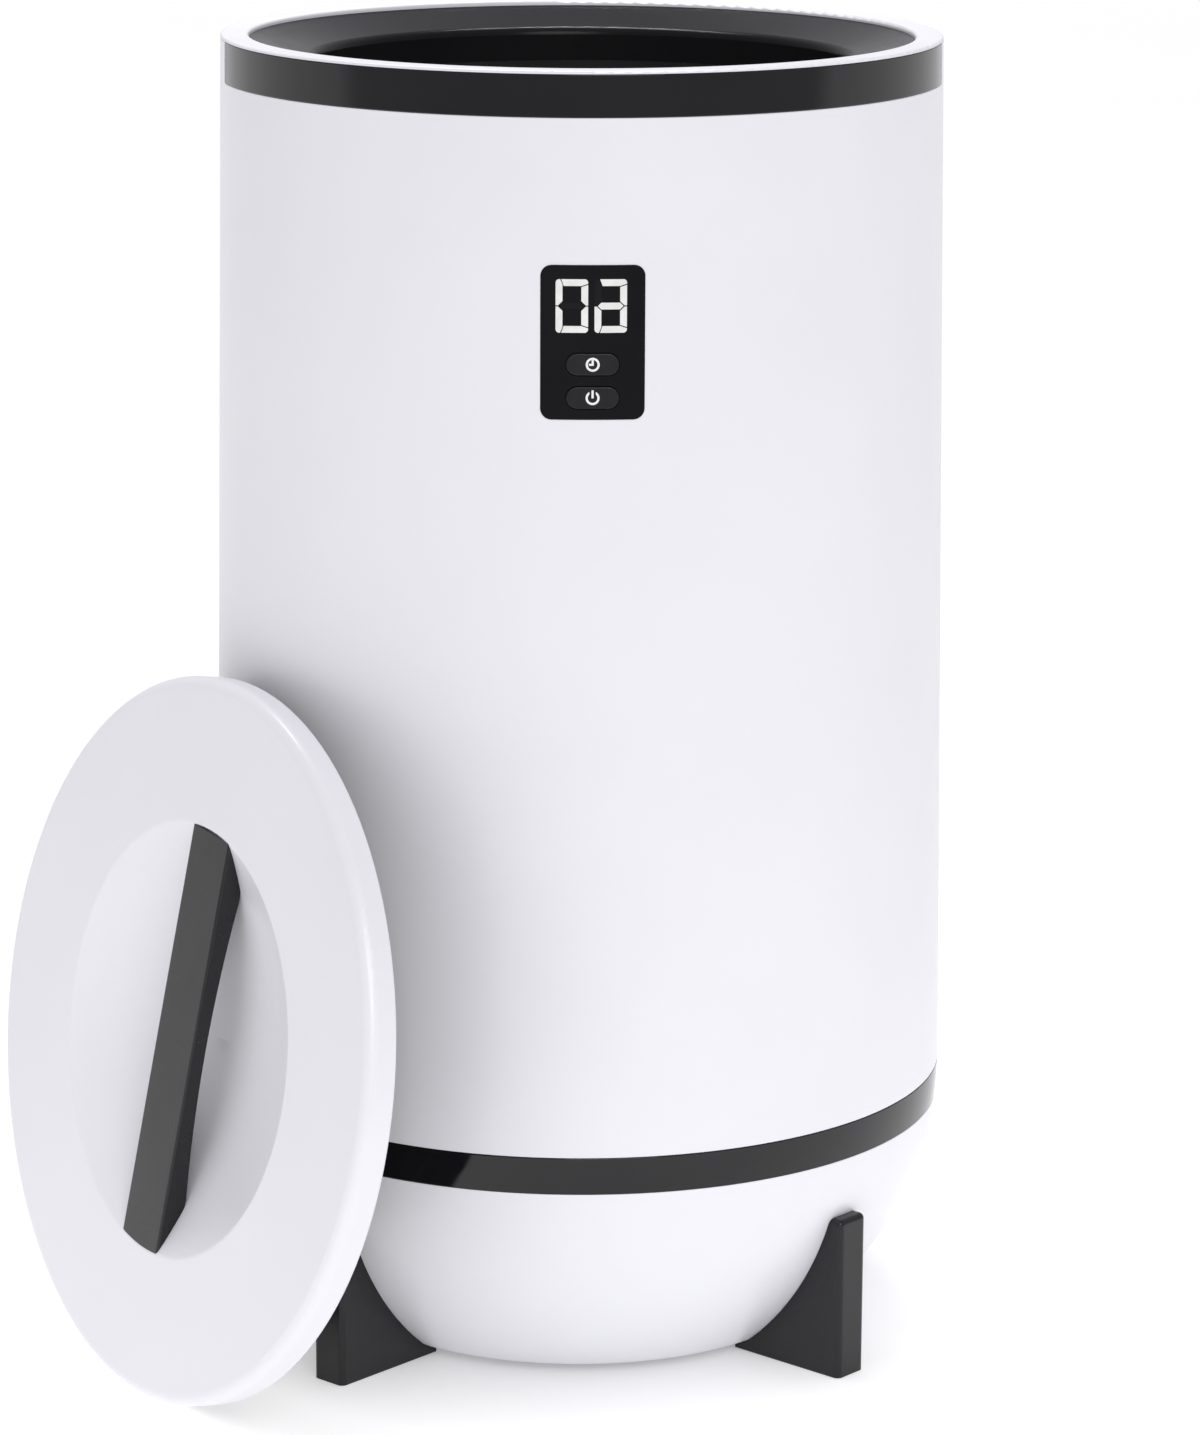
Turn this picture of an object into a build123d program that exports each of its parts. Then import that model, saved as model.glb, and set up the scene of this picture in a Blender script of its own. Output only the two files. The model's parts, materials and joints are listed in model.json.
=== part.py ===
from build123d import *
from math import asin, atan, cos, degrees, radians, sin, sqrt
import os

os.makedirs("parts", exist_ok=True)

# Towel warmer bucket, in millimetres. The origin is on the bucket's axis at the floor, +Z is up
# and the display faces -Y. The lid is off, and leans on the front left of the body.

# Body: a flank that widens downwards, then one large arc and one toe arc down to a flat bottom
rim_radius = 142.0  # outer wall at the top band's upper edge
flank_flare = 6.1  # how much further out the wall is where it runs into the bowl's curve
shoulder_level = 108.0
band_top_level = 521.5
bowl_arc_radius = 131.0
toe_arc_radius = 12.0
bowl_floor_gap = 3.0  # under the bowl's flat bottom
shell_wall = 2.5
nest_gap = 0.15  # between plastic shells that slide into each other
edge_round = 0.4

# Glossy bands
top_band_height = 16.0
top_band_reach = 78.8  # degrees to either side of the display; behind it the wall is white
top_band_end_round = 1.2
top_band_end_gap = 0.15
low_band_top = 106.6
low_band_height = 15.0
band_depth = 3.0
seat_gap = 0.05  # between faces that rest on each other

# Rim ring and collar
rim_ring_rise = 1.2
rim_ring_tongue = 1.9
rim_lip_width = 11.0  # from the outer wall to the opening
rim_to_throat = 35.7  # from the outer wall to the throat
throat_edge_round = 3.2
collar_fall = 7.2  # drop of the collar's slope from the rim ring to the throat's edge
collar_skirt = 15.0
throat_depth = 12.8
collar_wall = 2.5
collar_foot_width = 12.7  # outwards from the throat

# Heated bucket
throat_step = 0.3  # the bucket's inside is this much wider than the throat
liner_wall = 1.0
liner_floor_level = 105.0  # inside
liner_corner = 12.0
liner_seam_lap = 2.0  # the pressed base's seam, over its round corner
liner_flange_width = 11.4
liner_screw_count = 6
side_heater_thickness = 1.2
side_heater_low = 126.0
side_heater_high = 472.0
side_heater_slit = 8.0
insulation_thickness = 15.0
insulation_low = 130.0
insulation_high = 488.0
base_heater_radius = 78.0
base_heater_thickness = 2.6
thermostat_radius = 8.5
thermostat_height = 8.0
thermostat_offset = 32.0
thermostat_flange_length = 27.2
thermostat_flange_width = 7.6
thermostat_flange_thickness = 1.2
fuse_radius = 2.2
fuse_length = 14.0
fuse_offset = 28.0
sensor_length = 9.0
sensor_depth = 4.0
sensor_height = 8.4

# Chassis
chassis_level = 84.0  # underside
chassis_thickness = 3.0
support_inner_radius = 86.0
support_wall = 8.0
post_circle = 75.0
post_radius = 5.5
shell_boss_inset = 10.2  # its screws' circle, in from the spigot
shell_boss_radius = 4.8
shell_boss_height = 19.0
spigot_height = 7.4
chassis_fit = 0.3
wire_hole_radius = 9.0
wire_hole_offset = 41.2
ribbon_slot_length = 17.0
ribbon_slot_width = 5.0

# Screws: thread diameter, shank length
case_screw = 4.0
case_screw_length = 14.0
long_screw_length = 30.0
case_screw_count = 4
case_screw_turn = 45.0  # from +X
bowl_screw_recess = 6.0
bowl_boss_margin = 1.0
board_screw = 2.6
board_screw_length = 7.0
handle_screw = 3.0
screw_fit = 0.06
head_ratio = 0.9  # head radius over thread diameter
head_height_ratio = 0.62
cross_length_ratio = 1.1
cross_width_ratio = 0.24
cross_depth_ratio = 0.3

# Feet
foot_set_back = 0.9  # its outer face, in from the wall's widest place
foot_width = 16.0
foot_top_level = 66.2
foot_tip_lap = 0.3  # its tip, in under the bowl's flat bottom
foot_sole_level = 0.3
foot_gap = 0.1
foot_round = 2.4
foot_screw_level = 40.0
foot_screw_length = 11.0
foot_turn = 1.2  # the feet sit a little round from the display
foot_angles = {
    "front_right": foot_turn - 45,
    "rear_right": foot_turn + 45,
    "rear_left": foot_turn + 135,
    "front_left": foot_turn - 135,
}
pad_length = 30.0
pad_width = 10.0
pad_thickness = 2.0
pad_end_margin = 8.2  # from the foot's outer face

# Display panel
panel_width = 38.7
panel_corner = 4.1
panel_level = 422.5
panel_proud = 0.25
panel_fit = 0.12
frame_border = 4.6
frame_lap = 1.6
board_level = 11.0  # front of the display board, inwards from the shell's inner face
board_thickness = 1.6
digit_width = 12.0
digit_height = 19.9
digit_pitch = 14.4
digit_head_margin = 5.15  # panel's top to the digits
digit_shift = -0.58
digit_corner = 1.3
digit_mitre = 1.86  # from a digit's corner to the slanting cut between two strokes
digit_mitre_slant = 1.0
digit_waist = 1.8
bar_tip = 1.05
segment_width = 2.5
segment_cut = 0.42
segment_fit = 0.04
digit_module_margin = 1.4
module_depth = 5.6
digit_to_button = 7.75
button_spacing = 4.3
button_foot_margin = 4.1  # lower button to the panel's foot

# Push buttons
button_length = 19.7
button_height = 8.2
button_gap = 0.3
button_proud = 0.7
button_edge = 0.4
button_travel = 0.8
button_flange = 1.3
button_flange_thickness = 1.0
plunger_radius = 2.4
stem_radius = 1.7
stem_fit = 0.12
switch_size = 6.0
switch_height = 3.6
icon_radius = 2.6
icon_stroke = 0.8
icon_depth = 0.9
icon_fit = 0.03
clock_hand_up = 2.1
clock_hand_aside = 1.8
power_gap = 2.4
power_stroke = 3.0
power_stroke_rise = 1.43

# Boards and mains parts in the bowl
power_board_length = 98.0
power_board_width = 60.0
standoff_radius = 3.6
standoff_height = 8.5
standoff_inset = 5.0
transformer_size = (32.0, 27.0, 24.0)
transformer_place = (-22.0, -6.0)
coil_size = (21.0, 35.0, 14.4)
coil_rise = 4.8
relay_size = (19.0, 15.5, 15.5)
relay_place = (10.0, -13.0)
block_edge = 0.8
capacitor_radius = 6.5
capacitor_height = 16.0
capacitor_place = (34.0, -14.0)
terminal_size = (30.0, 10.0, 12.0)
terminal_place = (18.0, 20.0)
terminal_mouth_pitch = 10.0
terminal_mouth = (6.0, 4.8)
terminal_mouth_depth = 3.0
gland_level = 56.0
gland_radius = 6.2
gland_flange_radius = 9.5
gland_flange_thickness = 2.2
gland_nut_height = 4.0
gland_bore = 3.5
lead_radius = 3.2
ribbon_width = 13.0
ribbon_thickness = 1.0
ribbon_bend = 6.0
heater_lead_radius = 1.3
heater_lead_spacing = 7.0

# Lid
lid_rim_height = 13.0
lid_front_round = 4.6
lid_back_round = 1.5
lid_wall = 2.5
dish_radius = 85.1
dish_depth = 22.0
dish_edge_round = 2.5
plug_fit = 2.3  # between the plug and the throat
plug_depth = 16.0
plug_round = 4.0
plug_wall = 2.0
lid_cover_gap = 0.2
gasket_proud = 1.8
gasket_height = 2.4
gasket_groove = 1.0
gasket_level = 9.6  # below the rim's underside
lid_foam_wall = 8.0
lid_boss_radius = 4.4
lid_screw = 3.5
lid_screw_length = 9.0
lid_screw_count = 6

# Handle across the dish
handle_width = 28.8
handle_depth = 8.0
handle_turn = -4.6  # from the lid's own upright, as the lid leans
handle_fit = 0.1
handle_edge = 1.0
handle_skin = 2.0  # left over the blind screw holes
handle_screw_inset = 14.1  # from the dish's edge
handle_screw_spacing = 15.0
handle_boss_radius = 4.2
handle_boss_level = 12.6

# The lid's place as it leans
lid_facing = -148.6  # compass of its face, from +X
lid_lean = 9.4
lid_side_step = 6.0  # its centre's step aside from the facing line
lean_gap = 0.5


# ---------------------------------------------------------------- the body's outer line
shoulder_radius = rim_radius + flank_flare
top_band_low = band_top_level - top_band_height
low_band_low = low_band_top - low_band_height
flank_slope = (shoulder_radius - rim_radius) / (band_top_level - shoulder_level)
flank_angle = atan(flank_slope)
bowl_centre_r = shoulder_radius - bowl_arc_radius * cos(flank_angle)
bowl_centre_z = shoulder_level - bowl_arc_radius * sin(flank_angle)
toe_drop = bowl_centre_z - bowl_floor_gap - toe_arc_radius
toe_turn = asin(toe_drop / (bowl_arc_radius - toe_arc_radius))
toe_centre_r = bowl_centre_r + (bowl_arc_radius - toe_arc_radius) * cos(toe_turn)
toe_centre_z = bowl_floor_gap + toe_arc_radius


def wall_radius(level, inset=0.0):
    """Radius of the outer line, or of the line parallel to it by inset inwards, at a height."""
    if level >= shoulder_level - inset * sin(flank_angle):
        return shoulder_radius - flank_slope * (level - shoulder_level) - inset / cos(flank_angle)
    return bowl_centre_r + sqrt((bowl_arc_radius - inset) ** 2 - (bowl_centre_z - level) ** 2)


def wall_point(level, inset=0.0):
    return (wall_radius(level, inset), level)


def wall_line(low, high, inset=0.0):
    """Draws the outer line, or its parallel, between two heights above the toe."""
    turn_level = shoulder_level - inset * sin(flank_angle)
    if high > turn_level:
        Line(wall_point(max(low, turn_level), inset), wall_point(high, inset))
    if low < turn_level:
        top = min(high, turn_level)
        middle = (low + top) / 2
        ThreePointArc(wall_point(low, inset), wall_point(middle, inset), wall_point(top, inset))


def bowl_line(high, inset, end_radius=0.0):
    """Draws the bowl's line from a height down and in along its flat bottom."""
    large = bowl_arc_radius - inset
    small = toe_arc_radius - inset
    join = (bowl_centre_r + large * cos(toe_turn), bowl_centre_z - large * sin(toe_turn))
    wall_line(join[1], high, inset)
    half = (toe_turn + radians(90)) / 2
    bend = (toe_centre_r + small * cos(half), toe_centre_z - small * sin(half))
    floor = (toe_centre_r, bowl_floor_gap + inset)
    ThreePointArc(join, bend, floor)
    Line(floor, (end_radius, floor[1]))


def wall_ring(low, high, inner_inset, outer_inset):
    """Sketches the section of a skin that follows the outer line."""
    with BuildLine() as outline:
        wall_line(low, high, outer_inset)
        Line(wall_point(high, outer_inset), wall_point(high, inner_inset))
        wall_line(low, high, inner_inset)
        Line(wall_point(low, inner_inset), wall_point(low, outer_inset))
    make_face(outline.edges())


def ring_section(inner, outer, low, high):
    """Sketches a rectangle of a ring's section."""
    with Locations((inner, low)):
        Rectangle(outer - inner, high - low, align=(Align.MIN, Align.MIN))


def add_screw(seat, thread, length):
    """Adds a pan-head screw: its head sits on the seat plane and its shank runs along +Z of it."""
    head_height = thread * head_height_ratio
    with BuildSketch(seat) as shank:
        Circle(thread / 2)
    extrude(shank.sketch, amount=length)
    with BuildSketch(seat) as head:
        Circle(thread * head_ratio)
    extrude(head.sketch, amount=-head_height)
    with BuildSketch(seat.offset(-head_height)) as cross:
        Rectangle(thread * cross_length_ratio, thread * cross_width_ratio)
        Rectangle(thread * cross_width_ratio, thread * cross_length_ratio)
    extrude(cross.sketch, amount=thread * cross_depth_ratio, mode=Mode.SUBTRACT)


def ring_plane(radius, angle, level):
    """Level plane centred on a point of a ring around the body's axis."""
    turn = radians(angle)
    return Plane(origin=(radius * cos(turn), radius * sin(turn), level))


def circle_edges(part, radius, level):
    """Finds the round edges of a turned part with a radius at a height."""
    round_edges = part.edges().filter_by(GeomType.CIRCLE)
    return round_edges.filter_by(
        lambda edge: abs(edge.radius - radius) < 0.01 and abs(edge.center().Z - level) < 0.01
    )


def upright_plane(angle):
    """Upright plane through the axis, whose own X points outwards at an angle."""
    turn = radians(angle)
    return Plane(origin=(0, 0, 0), x_dir=(cos(turn), sin(turn), 0), z_dir=(sin(turn), -cos(turn), 0))


def drill(seat, radius, depth):
    """Drills a plain hole from a plane along its +Z."""
    with BuildSketch(seat) as hole:
        Circle(radius)
    extrude(hole.sketch, amount=depth, mode=Mode.SUBTRACT)


# ---------------------------------------------------------------- outer shell
neck_radius = wall_radius(top_band_low) - band_depth - nest_gap
neck_top = band_top_level - rim_ring_tongue
band_half_turn = top_band_reach + degrees(top_band_end_gap / rim_radius)
spigot_radius = wall_radius(low_band_low) - band_depth - nest_gap
spigot_meeting = low_band_low + spigot_height
shell_boss_circle = spigot_radius - shell_boss_inset
flank_low = low_band_top + 2 * shell_wall
flank_high = top_band_low - 2 * shell_wall
panel_cut_start = wall_radius(panel_level) - 4 * shell_wall
digits_and_buttons = digit_height + digit_to_button + 2 * button_height + button_spacing
panel_height = digit_head_margin + digits_and_buttons + button_foot_margin

with BuildPart() as outer_shell:
    with BuildSketch(Plane.XZ):
        with BuildLine():
            wall_line(low_band_top, top_band_low)
            Polyline(
                wall_point(top_band_low),
                (neck_radius, top_band_low),
                (neck_radius, neck_top),
                (neck_radius - shell_wall, neck_top),
                (neck_radius - shell_wall, top_band_low - shell_wall),
                wall_point(flank_high, shell_wall),
            )
            wall_line(flank_low, flank_high, shell_wall)
            Polyline(
                wall_point(flank_low, shell_wall),
                (spigot_radius - shell_wall, low_band_top),
                (spigot_radius - shell_wall, spigot_meeting + 2 * seat_gap),
                (spigot_radius, spigot_meeting + 2 * seat_gap),
                (spigot_radius, low_band_top),
                wall_point(low_band_top),
            )
        make_face()
    revolve(axis=Axis.Z)
    fillet(circle_edges(outer_shell, wall_radius(low_band_top), low_band_top), edge_round)
    fillet(circle_edges(outer_shell, wall_radius(top_band_low), top_band_low), edge_round)
    with BuildSketch(upright_plane(-90 + band_half_turn)):
        with BuildLine():
            wall_line(top_band_low - 2 * edge_round, band_top_level)
            Polyline(
                wall_point(band_top_level),
                (neck_radius + nest_gap, band_top_level),
                (neck_radius + nest_gap, neck_top),
                (neck_radius - shell_wall / 2, neck_top),
                (neck_radius - shell_wall / 2, top_band_low - 2 * edge_round),
                wall_point(top_band_low - 2 * edge_round),
            )
        make_face()
    revolve(axis=Axis.Z, revolution_arc=360 - 2 * band_half_turn)
    fillet(circle_edges(outer_shell, wall_radius(band_top_level), band_top_level), edge_round)
    with BuildSketch(Plane.XY.offset(spigot_meeting + 2 * seat_gap)):
        with PolarLocations(shell_boss_circle, case_screw_count, case_screw_turn):
            Circle(shell_boss_radius)
            rib = spigot_radius - shell_boss_circle - shell_wall / 2
            Rectangle(rib, shell_boss_radius * 1.2, align=(Align.MIN, Align.CENTER))
    extrude(amount=shell_boss_height)
    with BuildSketch(Plane.XY.offset(spigot_meeting)):
        with PolarLocations(shell_boss_circle, case_screw_count, case_screw_turn):
            Circle(case_screw / 2 + screw_fit)
    extrude(amount=shell_boss_height - shell_wall, mode=Mode.SUBTRACT)
    with BuildSketch(Plane.XZ.offset(panel_cut_start)):
        with Locations((0, panel_level)):
            RectangleRounded(
                panel_width + 2 * panel_fit, panel_height + 2 * panel_fit, panel_corner + panel_fit
            )
    extrude(amount=8 * shell_wall, mode=Mode.SUBTRACT)
outer_shell.part.label = "outer_shell"
export_step(outer_shell.part, "parts/outer_shell.step")

# ---------------------------------------------------------------- bands and rim ring
with BuildPart() as top_band:
    with BuildSketch(upright_plane(-90 - top_band_reach)):
        with BuildLine():
            wall_line(top_band_low + seat_gap, band_top_level)
            Polyline(
                wall_point(band_top_level),
                (neck_radius + nest_gap, band_top_level),
                (neck_radius + nest_gap, top_band_low + seat_gap),
                wall_point(top_band_low + seat_gap),
            )
        make_face()
    revolve(axis=Axis.Z, revolution_arc=2 * top_band_reach)
    upright_edges = top_band.edges().filter_by(lambda edge: abs(edge.length - top_band_height) < 1)
    outer_edges = upright_edges.filter_by(lambda edge: edge.center().Y**2 + edge.center().X**2 > neck_radius**2 + 9)
    fillet(outer_edges, top_band_end_round)
    fillet(circle_edges(top_band, wall_radius(band_top_level), band_top_level), edge_round)
    band_foot = top_band_low + seat_gap
    fillet(circle_edges(top_band, wall_radius(band_foot), band_foot), edge_round)
top_band.part.label = "top_band"
export_step(top_band.part, "parts/top_band.step")

with BuildPart() as lower_band:
    with BuildSketch(Plane.XZ):
        with BuildLine():
            wall_line(low_band_low + seat_gap, low_band_top - seat_gap)
            Polyline(
                wall_point(low_band_top - seat_gap),
                (spigot_radius + nest_gap, low_band_top - seat_gap),
                (spigot_radius + nest_gap, low_band_low + seat_gap),
                wall_point(low_band_low + seat_gap),
            )
        make_face()
    revolve(axis=Axis.Z)
    for level in (low_band_low + seat_gap, low_band_top - seat_gap):
        fillet(circle_edges(lower_band, wall_radius(level), level), edge_round)
lower_band.part.label = "lower_band"
export_step(lower_band.part, "parts/lower_band.step")

ring_top = band_top_level + rim_ring_rise
rim_opening_radius = rim_radius - rim_lip_width
collar_top = band_top_level - rim_ring_tongue / 2
with BuildPart() as rim_ring:
    with BuildSketch(Plane.XZ):
        with BuildLine():
            Polyline(
                (rim_radius, band_top_level + seat_gap),
                (neck_radius + nest_gap, band_top_level + seat_gap),
                (neck_radius + nest_gap, neck_top + seat_gap),
                (neck_radius - shell_wall, neck_top + seat_gap),
                (neck_radius - shell_wall, collar_top + seat_gap),
                (rim_opening_radius, collar_top + seat_gap),
                (rim_opening_radius, ring_top),
                (rim_radius, ring_top),
                close=True,
            )
        make_face()
    revolve(axis=Axis.Z)
    ring_edges = rim_ring.edges().filter_by(GeomType.CIRCLE).group_by(Axis.Z)[-1]
    fillet(ring_edges.sort_by(SortBy.RADIUS)[-1], rim_ring_rise * 0.85)
    fillet(ring_edges.sort_by(SortBy.RADIUS)[0], rim_ring_rise * 1.1)
rim_ring.part.label = "rim_ring"
export_step(rim_ring.part, "parts/rim_ring.step")

# ---------------------------------------------------------------- collar: a funnel into the throat
collar_outer = neck_radius - shell_wall - nest_gap
throat_edge_level = collar_top - collar_fall
throat_low = throat_edge_level - throat_depth
collar_skirt_low = collar_top - collar_skirt
skirt_inner = collar_outer - collar_wall
throat_radius = rim_radius - rim_to_throat
collar_foot_radius = throat_radius + collar_foot_width
liner_screw_circle = (throat_radius + collar_foot_radius) / 2
with BuildPart() as inner_collar:
    with BuildSketch(Plane.XZ):
        with BuildLine():
            Polyline(
                (collar_outer, collar_top),
                (rim_opening_radius, collar_top),
                (throat_radius, throat_edge_level),
                (throat_radius, throat_low),
                (collar_foot_radius, throat_low),
                (collar_foot_radius, throat_low + collar_wall * 2),
                (throat_radius + collar_wall, throat_low + collar_wall * 2),
                (throat_radius + collar_wall, throat_edge_level - collar_wall),
                (skirt_inner, collar_top - collar_wall * 1.4),
                (skirt_inner, collar_skirt_low),
                (collar_outer, collar_skirt_low),
                close=True,
            )
        make_face()
    revolve(axis=Axis.Z)
    throat_edges = inner_collar.edges().filter_by(GeomType.CIRCLE).group_by(SortBy.RADIUS)[0]
    fillet(throat_edges.sort_by(Axis.Z)[-1], throat_edge_round)
    with BuildSketch(Plane.XY.offset(throat_low)):
        with PolarLocations(liner_screw_circle, liner_screw_count):
            Circle(board_screw / 2 + screw_fit)
    extrude(amount=collar_wall * 1.6, mode=Mode.SUBTRACT)
inner_collar.part.label = "inner_collar"
export_step(inner_collar.part, "parts/inner_collar.step")

# ---------------------------------------------------------------- heated bucket
liner_radius = throat_radius + throat_step
liner_flange_radius = liner_radius + liner_flange_width
liner_outer = liner_radius + liner_wall
liner_bottom = liner_floor_level - liner_wall
liner_top = throat_low - seat_gap
liner_seam_level = liner_bottom + liner_corner + liner_seam_lap
with BuildPart() as bucket_liner:
    with BuildSketch(Plane.XZ):
        ring_section(liner_radius, liner_outer, liner_seam_level + seat_gap, liner_top)
        ring_section(liner_radius, liner_flange_radius, liner_top - liner_wall, liner_top)
    revolve(axis=Axis.Z)
    with BuildSketch(Plane.XY.offset(liner_top)):
        with PolarLocations(liner_screw_circle, liner_screw_count):
            Circle(board_screw / 2 + screw_fit)
    extrude(amount=-2 * liner_wall, mode=Mode.SUBTRACT)
bucket_liner.part.label = "bucket_liner"
export_step(bucket_liner.part, "parts/bucket_liner.step")

with BuildPart() as liner_base:
    with BuildSketch(Plane.XZ):
        with BuildLine():
            FilletPolyline(
                (0, liner_bottom), (liner_outer, liner_bottom), (liner_outer, liner_seam_level),
                radius=liner_corner,
            )
            Line((liner_outer, liner_seam_level), (liner_radius, liner_seam_level))
            FilletPolyline(
                (liner_radius, liner_seam_level), (liner_radius, liner_floor_level), (0, liner_floor_level),
                radius=liner_corner - liner_wall,
            )
            Line((0, liner_floor_level), (0, liner_bottom))
        make_face()
    revolve(axis=Axis.Z)
liner_base.part.label = "liner_base"
export_step(liner_base.part, "parts/liner_base.step")

with BuildPart() as liner_screws:
    for step in range(liner_screw_count):
        angle = 360 / liner_screw_count * step
        seat = ring_plane(liner_screw_circle, angle, liner_top - liner_wall - seat_gap)
        add_screw(seat, board_screw, liner_wall + collar_wall * 1.2)
liner_screws.part.label = "liner_screws"
export_step(liner_screws.part, "parts/liner_screws.step")

heater_inner = liner_outer + seat_gap
heater_outer = heater_inner + side_heater_thickness
with BuildPart() as side_heater:
    with BuildSketch(Plane.XY.offset(side_heater_low)):
        Circle(heater_outer)
        Circle(heater_inner, mode=Mode.SUBTRACT)
        with Locations((0, heater_inner)):
            Rectangle(side_heater_slit, 4 * side_heater_thickness, mode=Mode.SUBTRACT)
    extrude(amount=side_heater_high - side_heater_low)
side_heater.part.label = "side_heater"
export_step(side_heater.part, "parts/side_heater.step")

insulation_inner = heater_outer + 2 * seat_gap
with BuildPart() as insulation_sleeve:
    with BuildSketch(Plane.XZ):
        ring_section(
            insulation_inner, insulation_inner + insulation_thickness, insulation_low, insulation_high
        )
    revolve(axis=Axis.Z)
insulation_sleeve.part.label = "insulation_sleeve"
export_step(insulation_sleeve.part, "parts/insulation_sleeve.step")

base_heater_top = liner_bottom - seat_gap
base_heater_low = base_heater_top - base_heater_thickness
with BuildPart() as base_heater:
    with BuildSketch(Plane.XY.offset(base_heater_low)):
        Circle(base_heater_radius)
    extrude(amount=base_heater_thickness)
    fillet(base_heater.edges().group_by(Axis.Z)[0], edge_round)
base_heater.part.label = "base_heater"
export_step(base_heater.part, "parts/base_heater.step")

chassis_top = chassis_level + chassis_thickness
with BuildPart() as liner_support:
    with BuildSketch(Plane.XZ):
        ring_section(
            support_inner_radius,
            support_inner_radius + support_wall,
            chassis_top + seat_gap,
            liner_bottom - seat_gap,
        )
    revolve(axis=Axis.Z)
liner_support.part.label = "liner_support"
export_step(liner_support.part, "parts/liner_support.step")

with BuildPart() as thermostat:
    with BuildSketch(Plane.XY.offset(base_heater_low - seat_gap)):
        with Locations((thermostat_offset, 0)):
            Circle(thermostat_radius)
    extrude(amount=-thermostat_height)
    with BuildSketch(Plane.XY.offset(base_heater_low - seat_gap)):
        with Locations((thermostat_offset, 0)):
            SlotOverall(thermostat_flange_length, thermostat_flange_width)
    extrude(amount=-thermostat_flange_thickness)
    fillet(thermostat.edges().group_by(Axis.Z)[0], edge_round)
thermostat.part.label = "thermostat"
export_step(thermostat.part, "parts/thermostat.step")

with BuildPart() as thermal_fuse:
    fuse_level = base_heater_low - seat_gap - fuse_radius
    with BuildSketch(Plane.XZ.offset(-fuse_length / 2)):
        with Locations((-fuse_offset, fuse_level)):
            Circle(fuse_radius)
    extrude(amount=fuse_length)
    fillet(thermal_fuse.edges(), edge_round)
thermal_fuse.part.label = "thermal_fuse"
export_step(thermal_fuse.part, "parts/thermal_fuse.step")

with BuildPart() as temperature_sensor:
    sensor_level = (side_heater_low + liner_bottom + liner_corner) / 2 - sensor_height / 2
    with BuildSketch(Plane.XY.offset(sensor_level)):
        with Locations((-liner_outer - seat_gap, 0)):
            Rectangle(sensor_depth, sensor_length, align=(Align.MAX, Align.CENTER))
    extrude(amount=sensor_height)
    fillet(temperature_sensor.edges().group_by(Axis.X)[0], edge_round)
temperature_sensor.part.label = "temperature_sensor"
export_step(temperature_sensor.part, "parts/temperature_sensor.step")

# ---------------------------------------------------------------- chassis plate on four posts
floor_inside = bowl_floor_gap + shell_wall
post_low = floor_inside + standoff_height
with BuildPart() as chassis_plate:
    with BuildSketch(Plane.XY.offset(chassis_level)):
        Circle(spigot_radius - shell_wall - chassis_fit)
        with Locations((-wire_hole_offset, 0)):
            Circle(wire_hole_radius, mode=Mode.SUBTRACT)
        with Locations((0, -shell_boss_circle)):
            Rectangle(ribbon_slot_length, ribbon_slot_width, mode=Mode.SUBTRACT)
    extrude(amount=chassis_thickness)
    with BuildSketch(Plane.XY.offset(post_low)):
        with PolarLocations(post_circle, case_screw_count, case_screw_turn):
            Circle(post_radius)
    extrude(amount=chassis_level - post_low)
    with BuildSketch(Plane.XY.offset(chassis_top)):
        with PolarLocations(shell_boss_circle, case_screw_count, case_screw_turn):
            Circle(shell_boss_radius)
    extrude(amount=spigot_meeting - chassis_top)
    with BuildSketch(Plane.XY.offset(post_low)):
        with PolarLocations(post_circle, case_screw_count, case_screw_turn):
            Circle(case_screw / 2 + screw_fit)
    extrude(amount=case_screw_length, mode=Mode.SUBTRACT)
    with BuildSketch(Plane.XY.offset(chassis_level)):
        with PolarLocations(shell_boss_circle, case_screw_count, case_screw_turn):
            Circle(case_screw / 2 + screw_fit)
    extrude(amount=spigot_meeting, mode=Mode.SUBTRACT)
chassis_plate.part.label = "chassis_plate"
export_step(chassis_plate.part, "parts/chassis_plate.step")

with BuildPart() as chassis_screws:
    for step in range(case_screw_count):
        angle = case_screw_turn + 360 / case_screw_count * step
        seat = ring_plane(shell_boss_circle, angle, chassis_level - seat_gap)
        add_screw(seat, case_screw, long_screw_length)
chassis_screws.part.label = "chassis_screws"
export_step(chassis_screws.part, "parts/chassis_screws.step")

# ---------------------------------------------------------------- bowl
bowl_inner_high = low_band_low - 2 * shell_wall
bowl_screw_seat = bowl_floor_gap + bowl_screw_recess
board_x = power_board_length / 2 - standoff_inset
board_y = power_board_width / 2 - standoff_inset


def bowl_normal(level, angle):
    """Plane on the bowl's outer face at a height and compass angle, with +Z out of the face."""
    fall = asin((bowl_centre_z - level) / bowl_arc_radius)
    turn = radians(angle)
    place = (wall_radius(level) * cos(turn), wall_radius(level) * sin(turn), level)
    return Plane(origin=place, z_dir=(cos(fall) * cos(turn), cos(fall) * sin(turn), -sin(fall)))


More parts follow.
